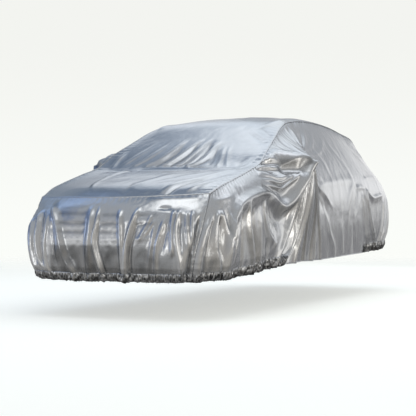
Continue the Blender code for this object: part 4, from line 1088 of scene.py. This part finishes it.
class COVER_OT_seams(bpy.types.Operator):
    """Sews the felled seams with their lines of thread, which also paint the shadow beside the ridge"""
    bl_idname = "cover.seams"
    bl_label = "Sew Seams"

    def execute(self, context):
        seam = context.scene.cover_seam
        for name, path in seam_paths().items():
            outward = outward_at(path)
            count = len(path)
            length = np.concatenate([[0.0], np.cumsum(np.linalg.norm(np.diff(path, axis=0), axis=1))])
            # twice for each pucker, the ridge is drawn in and the thread thins
            stitch = np.cos(2.0 * np.pi * length / (0.5 * seam.pucker_pitch))
            pinch = 1.0 + RIDGE_PINCH * stitch
            ridge = round_profile(count, RIDGE_SIDES, seam.width, seam.height)
            ridge *= pinch[:, None, None]
            points = swept_strip(path + 0.0015 * outward, outward, ridge)
            add_piece(name, [grounded(points)], satin_film())
            # the thread line, set beside and below the ridge, is thread and painted shadow of the groove
            thread = round_profile(count, THREAD_SIDES, seam.thread_width, seam.thread_width)
            gap = np.clip(1.25 + 1.1 * stitch, 0.25, 1.0)
            thread *= gap[:, None, None]
            side = np.sign(path[:, 0].mean()) if abs(path[:, 0].mean()) > 0.01 else 0.0
            offset = np.array([0.55 * seam.width * side, 0.0, -0.55 * seam.width])
            points = swept_strip(path + offset + 0.002 * outward, outward, thread)
            add_piece(name + "_thread", [grounded(points)], thread_and_groove_shadow())
        return {"FINISHED"}


def hem_band(first_girth, last_girth, seed):
    """The ruffled band of the gathered hem between two girths, as a grid.

    It follows the skirt's last stretch, stands out in a half round over its height, and ruffles
    in and out by a cosine of the girth whose phase and depth change by chance. The ruffles open
    out from nothing at its top, so the band runs out of the skirt with no edge.
    """
    hem = bpy.context.scene.cover_hem
    columns = int(abs(last_girth - first_girth) / BAND_STEP)
    girths = np.linspace(first_girth, last_girth, columns + 1)
    share = np.linspace(0.0, 1.0, BAND_ROWS + 1)
    tall = FRONT_BAND_SHARE if abs(first_girth) < FRONT_BAND_REACH else 1.0
    drops = 1.0 - hem.band / COLUMN_LENGTH * (1.0 - share) * tall
    girth, drop = np.meshgrid(girths, drops, indexing="ij")
    points = skirt_surface_plain(girth, drop)
    level = np.broadcast_to(share, girth.shape)
    phase = 3.2 * chance(girth, level, 0.060, 0.340, seed)
    wave = np.cos(2.0 * np.pi * girth / hem.ruffle_pitch + phase)
    uneven = 0.75 + 0.5 * chance(girth, level, 0.045, 0.500, seed + 1)
    rough = chance(girth, level, 0.011, 0.200, seed + 2)
    open_out = np.sin(0.5 * np.pi * np.clip(1.6 * level, 0.05, 1.0))
    lift = hem.ruffle_depth * (wave * uneven + 0.65 * rough) * open_out
    lift += 0.007 * np.sin(np.pi * level) + 0.002
    # only the band at the left side's front rises softly from both of its ends
    ends = np.minimum(np.abs(girth - first_girth), np.abs(last_girth - girth)) / 0.060
    lift *= np.clip(ends, 0.15, 1.0) if abs(last_girth) < 5.0 and last_girth > 0.9 else 1.0
    outward = -facing(points)
    points = points + lift[..., None] * outward
    points[..., 2] += 0.004 * chance(girth, level, 0.020, 2.0, seed + 3) * level
    return points


def hem_painted_shade(shape, least, seed):
    """The hem's patchy painted shade: least at the top of the band and dark at its foot, with chance
    patches."""
    column, row = np.meshgrid(np.arange(shape[0]) * 1.0, np.arange(shape[1]) * 1.0, indexing="ij")
    fall = row / (shape[1] - 1.0)
    patches = chance(column, row, 3.0, 3.0, seed)
    return np.clip(least + HEM_FOOT_PAINTED_SHADE * fall + HEM_PATCH_PAINTED_SHADE * patches, 0.0, 1.0)


def skirt_surface_plain(girth, drop):
    """The skirt's form near the hem, with its folds and draw-in but no crinkles."""
    points = skirt_point(girth, drop)
    height = points[..., 2]
    outward = -facing(points)
    from_seam = np.clip(from_corner_seams(girth) / SEAM_EASE, 0.0, 1.0)
    lift = from_seam * skirt_creases(girth, height) - slack_corner(girth, drop)
    lift -= gathered(girth) * gather_share(drop) * HEM_DRAW_IN
    points = points + lift[..., None] * outward
    points[..., 0] += mirror_tent(girth, height) * np.sign(girth)
    return points


class COVER_OT_hem(bpy.types.Operator):
    """Gathers the hem on its elastic and rolls the plain hem between"""
    bl_idname = "cover.hem"
    bl_label = "Gather Hem"

    def execute(self, context):
        hem = context.scene.cover_hem
        film = satin_film()
        front_end = GATHER_FRONT_END + BAND_RUN_ON
        rear_start = GATHER_REAR_START - BAND_RUN_ON
        bands = {
            "front_hem": [hem_band(-FRONT_SEAM, FRONT_SEAM, 41)],
            "left_hem": [hem_band(FRONT_SEAM, front_end, 51), hem_band(rear_start, REAR_SEAM, 55)],
            "right_hem": [hem_band(-front_end, -FRONT_SEAM, 61), hem_band(-REAR_SEAM, -rear_start, 65)],
            "rear_hem": [hem_band(REAR_SEAM, REAR_MIDDLE, 71), hem_band(-REAR_MIDDLE, -REAR_SEAM, 75)],
        }
        for name, grids in bands.items():
            least = FRONT_HEM_PAINTED_SHADE if name == "front_hem" else HEM_PAINTED_SHADE
            painted_shade = [hem_painted_shade(grid.shape[:2], least, 80 + count) for count, grid in enumerate(grids)]
            piece = add_piece(name, [grounded(grid) for grid in grids], film, flip=True,
                              painted_shades=painted_shade)
            thicken(piece, context.scene.cover_cloth.thickness)
        girths, _, points, _ = skirt_ring()
        for name, hand in (("left_plain_hem", 1.0), ("right_plain_hem", -1.0)):
            keep = (girths * hand > front_end) & (girths * hand < rear_start)
            path = points[keep, -1]
            outward = np.zeros_like(path)
            outward[:, 0] = hand
            bead = round_profile(len(path), RIDGE_SIDES, 2.0 * hem.bead, 2.0 * hem.bead)
            strip = swept_strip(path + hem.bead * 0.5 * outward, outward, bead)
            add_piece(name, [grounded(strip)], film)
        return {"FINISHED"}


# ------------------------------------------------------------------ the studio
# The room's light by elevation: sine of the elevation, brightness and tint.
ROOM_LEVELS = (
    (-1.00, 0.17, "#FFFCF8"), (-0.70, 0.20, "#FFFCF8"), (-0.50, 0.28, "#FFFCF8"),
    (-0.26, 0.46, "#FFFDFA"), (0.00, 0.53, "#FFFEFC"), (0.26, 0.49, "#FBFCFF"),
    (0.50, 0.47, "#F4F9FF"), (0.87, 0.49, "#F2F8FF"), (1.00, 0.52, "#F2F8FF"),
)
# Its soft coloured zones: bearing (0 is to the front, 90 to the left), elevation, inner and outer
# radius in degrees, and the share of the light that is left there, as a colour.
SCREENS = (
    (240, 34, 8, 46, "#C4D2E2"),
    (284, 20, 6, 34, "#A4BCE6"),
    (156, -17, 4, 24, "#B4B4B8"),
    (233, 54, 4, 20, "#CCD6E4"),
    (100, -22, 6, 28, "#D2D2D2"),
    (350, 0, 10, 36, "#EEF0F2"),
    (60, 10, 20, 80, "#FFFAF2"),
)
# Its softboxes: place, the point each is turned to, width and height in metres, colour, and
# brightness in its middle beside a white wall's 1.
SOFTBOXES = (
    ("over_roof", (0.1, 1.9, 2.3), (0.1, 1.4, -0.5), 3.6, 2.8, "#F3FAFF", 0.68),
    ("over_back", (-3.0, 3.3, 2.2), (-0.3, -1.6, -0.6), 1.9, 1.8, "#FAFCFF", 0.54),
    ("over_front", (0.6, -3.2, 2.4), (0.4, -2.4, -0.8), 1.9, 1.3, "#FFFFFC", 1.20),
    ("overhead", (0.9, -0.7, 2.6), (0.5, -0.8, -0.4), 1.8, 1.1, "#F8FCFF", 0.90),
    ("over_glass", (-0.8, 0.9, 2.2), (0.5, -0.8, -0.3), 0.8, 0.9, "#FFFBF2", 0.44),
    ("over_left", (-3.4, -1.6, 2.2), (-0.3, -2.0, -0.7), 1.4, 2.4, "#A9C6F6", 0.55),
    ("over_side", (2.4, 0.5, 2.5), (0.9, -0.6, -0.4), 1.7, 1.7, "#FBFCFF", 0.66),
    ("behind", (0.8, 8.0, 0.45), (0.3, 0.0, -0.5), 9.2, 2.1, "#FDFCFA", 0.58),
    ("front_fill", (-4.8, -8.8, -0.6), (0.0, -2.2, -1.0), 4.4, 2.0, "#FFFEFC", 0.33),
    ("side_band", (7.0, 1.0, 0.45), (0.9, 0.5, -0.7), 7.5, 1.6, "#FFFCF6", 0.68),
    ("side_strip", (7.0, -2.6, 0.2), (0.9, -1.2, -1.0), 0.9, 2.6, "#FFF9EE", 2.20),
    ("front_strip", (-2.4, -9.6, 0.4), (0.0, -2.2, -1.0), 0.9, 2.8, "#FFFDF8", 2.40),
    ("left_strip", (-8.2, -5.2, 0.5), (-0.4, -2.0, -1.0), 1.2, 2.6, "#D6E4FF", 1.20),
    ("corner_strip", (7.0, -6.6, 0.6), (0.8, -2.0, -1.0), 0.9, 2.6, "#FFFCF4", 2.00),
)
SOFTBOX_STEPS = (1.45, 1.15, 0.85, 0.55)   # a softbox fades to its edge in panels of these sizes
FLOOR_HALF = 16.0         # half the floor's side, in metres
FLOOR_GAP = 0.001         # how far the floor lies below the ground
FLOOR_GLOW = 0.50         # strength of the floor's own light
FLOOR_FADE = (4.0, 13.0)  # where the floor starts to fade and is gone, from its middle
CAMERA_PLACE = (4.828, -10.039, 0.823)     # x, y and height above the ground
CAMERA_TILT = 0.0055      # above level, in radians
CAMERA_TURN = 0.4668      # to its left from looking along +Y, in radians
CAMERA_SENSOR = 36.0      # width of the sensor, in millimetres


def screen(tree, way, light, bearing, elevation, inner, outer, colour):
    """Tints and dims the room's light about one direction: full within the inner radius, fading
    out to the outer one."""
    turn = math.radians(bearing)
    rise = math.radians(elevation)
    aim = (math.cos(rise) * math.sin(turn), -math.cos(rise) * math.cos(turn), math.sin(rise))
    dot = add_node(tree, "ShaderNodeVectorMath", {"operation": "DOT_PRODUCT"}, {1: aim}, {0: way})
    reach = add_node(tree, "ShaderNodeMapRange", {"interpolation_type": "SMOOTHERSTEP"},
                     {"From Min": math.cos(math.radians(outer)), "From Max": math.cos(math.radians(inner))},
                     {"Value": dot.outputs["Value"]})
    mix = add_node(tree, "ShaderNodeMix", {"data_type": "RGBA", "blend_type": "MULTIPLY"},
                   {"B": linear(colour)}, {"Factor": reach.outputs["Result"], "A": light})
    return mix.outputs["Result"]


def softbox(name, place, aim, width, height, colour, brightness):
    """A rectangular softbox at place, turned to aim: nested panels make it fade to its edge."""
    run = [there - here for there, here in zip(aim, place)]
    level = math.hypot(run[0], run[1])
    share = bpy.context.scene.cover_stage.softbox / len(SOFTBOX_STEPS)
    for layer, step in enumerate(SOFTBOX_STEPS):
        light = bpy.data.lights.new(name, "AREA")
        light.shape = "RECTANGLE"
        light.size = step * width
        light.size_y = step * height
        light.color = linear(colour)[:3]
        light.energy = math.pi * light.size * light.size_y * brightness * share
        lamp = bpy.data.objects.new(name, light)
        bpy.context.scene.collection.objects.link(lamp)
        lamp.visible_camera = False
        lamp.location = [here + 0.02 * layer * part for here, part in zip(place, run)]
        lamp.rotation_euler = (math.atan2(level, -run[2]), 0.0, math.atan2(run[1], run[0]) - math.pi / 2.0)


def studio_world():
    """The room round the cover: an even backdrop to look at, and for its light a room that is
    brighter above than below, with soft coloured zones in it."""
    world = bpy.data.worlds.new("studio")
    bpy.context.scene.world = world
    world.use_nodes = True
    tree = world.node_tree
    output = tree.nodes["World Output"]
    backdrop = tree.nodes["Background"]
    way = add_node(tree, "ShaderNodeTexCoord").outputs["Generated"]
    parts = add_node(tree, "ShaderNodeSeparateXYZ", links={"Vector": way})
    up = add_node(tree, "ShaderNodeMapRange", values={"From Min": -1.0, "From Max": 1.0},
                  links={"Value": parts.outputs["Z"]})
    level = add_node(tree, "ShaderNodeValToRGB", links={"Fac": up.outputs["Result"]})
    ramp = level.color_ramp
    ramp.elements.remove(ramp.elements[1])
    for place, (sine, grey, tint) in enumerate(ROOM_LEVELS):
        stop = ramp.elements.new(0.5 + 0.5 * sine) if place else ramp.elements[0]
        stop.position = 0.5 + 0.5 * sine
        stop.color = tuple(grey * channel for channel in linear(tint)[:3]) + (1.0,)
    rise = add_node(tree, "ShaderNodeMapRange", {"interpolation_type": "SMOOTHSTEP"},
                    {"From Min": -0.04, "From Max": 0.16}, {"Value": parts.outputs["Z"]})
    stage = bpy.context.scene.cover_stage
    wall = add_node(tree, "ShaderNodeMix", {"data_type": "RGBA"},
                    {"A": linear(stage.floor), "B": linear(stage.backdrop)},
                    {"Factor": rise.outputs["Result"]})
    tree.links.new(wall.outputs["Result"], backdrop.inputs["Color"])
    light = level.outputs["Color"]
    for row in SCREENS:
        light = screen(tree, way, light, *row)
    glow = add_node(tree, "ShaderNodeBackground", links={"Color": light})
    seen = add_node(tree, "ShaderNodeLightPath").outputs["Is Camera Ray"]
    mix = add_node(tree, "ShaderNodeMixShader", links={"Fac": seen})
    tree.links.new(glow.outputs["Background"], mix.inputs[1])
    tree.links.new(backdrop.outputs["Background"], mix.inputs[2])
    tree.links.new(mix.outputs["Shader"], output.inputs["Surface"])


def floor_paint():
    """Matt white studio floor: it takes soft shadows, glows faintly, and fades into the backdrop
    far from the cover."""
    material = bpy.data.materials.new("matt_white_floor")
    material.use_nodes = True
    tree = material.node_tree
    tree.nodes.remove(tree.nodes["Principled BSDF"])
    colour = linear(bpy.context.scene.cover_stage.floor)
    paint = add_node(tree, "ShaderNodeBsdfDiffuse", values={"Color": colour})
    glow = add_node(tree, "ShaderNodeEmission", values={"Color": colour, "Strength": FLOOR_GLOW})
    both = add_node(tree, "ShaderNodeAddShader")
    tree.links.new(paint.outputs["BSDF"], both.inputs[0])
    tree.links.new(glow.outputs["Emission"], both.inputs[1])
    place = add_node(tree, "ShaderNodeTexCoord").outputs["Object"]
    away = add_node(tree, "ShaderNodeVectorMath", {"operation": "LENGTH"}, links={"Vector": place})
    fade = add_node(tree, "ShaderNodeMapRange", {"interpolation_type": "SMOOTHSTEP"},
                    values={"From Min": FLOOR_FADE[0], "From Max": FLOOR_FADE[1]},
                    links={"Value": away.outputs["Value"]})
    clear = add_node(tree, "ShaderNodeBsdfTransparent")
    mix = add_node(tree, "ShaderNodeMixShader", links={"Fac": fade.outputs["Result"]})
    tree.links.new(both.outputs["Shader"], mix.inputs[1])
    tree.links.new(clear.outputs["BSDF"], mix.inputs[2])
    tree.links.new(mix.outputs["Shader"], tree.nodes["Material Output"].inputs["Surface"])
    return material


class COVER_OT_stage(bpy.types.Operator):
    """Sets the pale floor, the soft lights and the camera"""
    bl_idname = "cover.stage"
    bl_label = "Set Stage"

    def execute(self, context):
        scene = context.scene
        scene.view_settings.view_transform = "Standard"
        half = FLOOR_HALF
        mesh = bpy.data.meshes.new("floor")
        corners = [(-half, -half, 0.0), (half, -half, 0.0), (half, half, 0.0), (-half, half, 0.0)]
        mesh.from_pydata(corners, [], [(0, 1, 2, 3)])
        mesh.materials.append(floor_paint())
        floor = bpy.data.objects.new("floor", mesh)
        floor.location = (0.0, 0.0, -ROOF_HEIGHT - FLOOR_GAP)
        scene.collection.objects.link(floor)
        floor.visible_glossy = False
        studio_world()
        for row in SOFTBOXES:
            softbox(*row)
        camera = bpy.data.cameras.new("camera")
        camera.sensor_width = CAMERA_SENSOR
        camera.lens = scene.cover_stage.lens
        viewer = bpy.data.objects.new("camera", camera)
        x, y, height = CAMERA_PLACE
        viewer.location = (x, y, height - ROOF_HEIGHT)
        viewer.rotation_euler = (math.pi / 2.0 + CAMERA_TILT, 0.0, CAMERA_TURN)
        scene.collection.objects.link(viewer)
        scene.camera = viewer
        return {"FINISHED"}


class COVER_PT_sidebar(bpy.types.Panel):
    """Lists the cover's settings and the pieces that can be built"""
    bl_idname = "COVER_PT_sidebar"
    bl_label = "Car Cover"
    bl_space_type = "VIEW_3D"
    bl_region_type = "UI"
    bl_category = "Car Cover"

    def draw(self, context):
        for name, group in SETTINGS:
            box = self.layout.box()
            box.label(text=group.bl_rna.name)
            for key in group.__annotations__:
                box.prop(getattr(context.scene, name), key)
        for operator in OPERATORS:
            self.layout.operator(operator.bl_idname)


OPERATORS = (
    COVER_OT_top_panel,
    COVER_OT_front_panel,
    COVER_OT_side_panels,
    COVER_OT_rear_panel,
    COVER_OT_seams,
    COVER_OT_hem,
    COVER_OT_stage,
)


def register():
    for name, group in SETTINGS:
        bpy.utils.register_class(group)
        setattr(bpy.types.Scene, name, bpy.props.PointerProperty(type=group))
    for operator in OPERATORS:
        bpy.utils.register_class(operator)
    bpy.utils.register_class(COVER_PT_sidebar)


def unregister():
    bpy.utils.unregister_class(COVER_PT_sidebar)
    for operator in reversed(OPERATORS):
        bpy.utils.unregister_class(operator)
    for name, group in reversed(SETTINGS):
        delattr(bpy.types.Scene, name)
        bpy.utils.unregister_class(group)


def main():
    """Builds the cover piece by piece."""
    register()
    bpy.ops.cover.top_panel()
    bpy.ops.cover.front_panel()
    bpy.ops.cover.side_panels()
    bpy.ops.cover.rear_panel()
    bpy.ops.cover.seams()
    bpy.ops.cover.hem()
    bpy.ops.cover.stage()


if __name__ == "__main__":
    main()
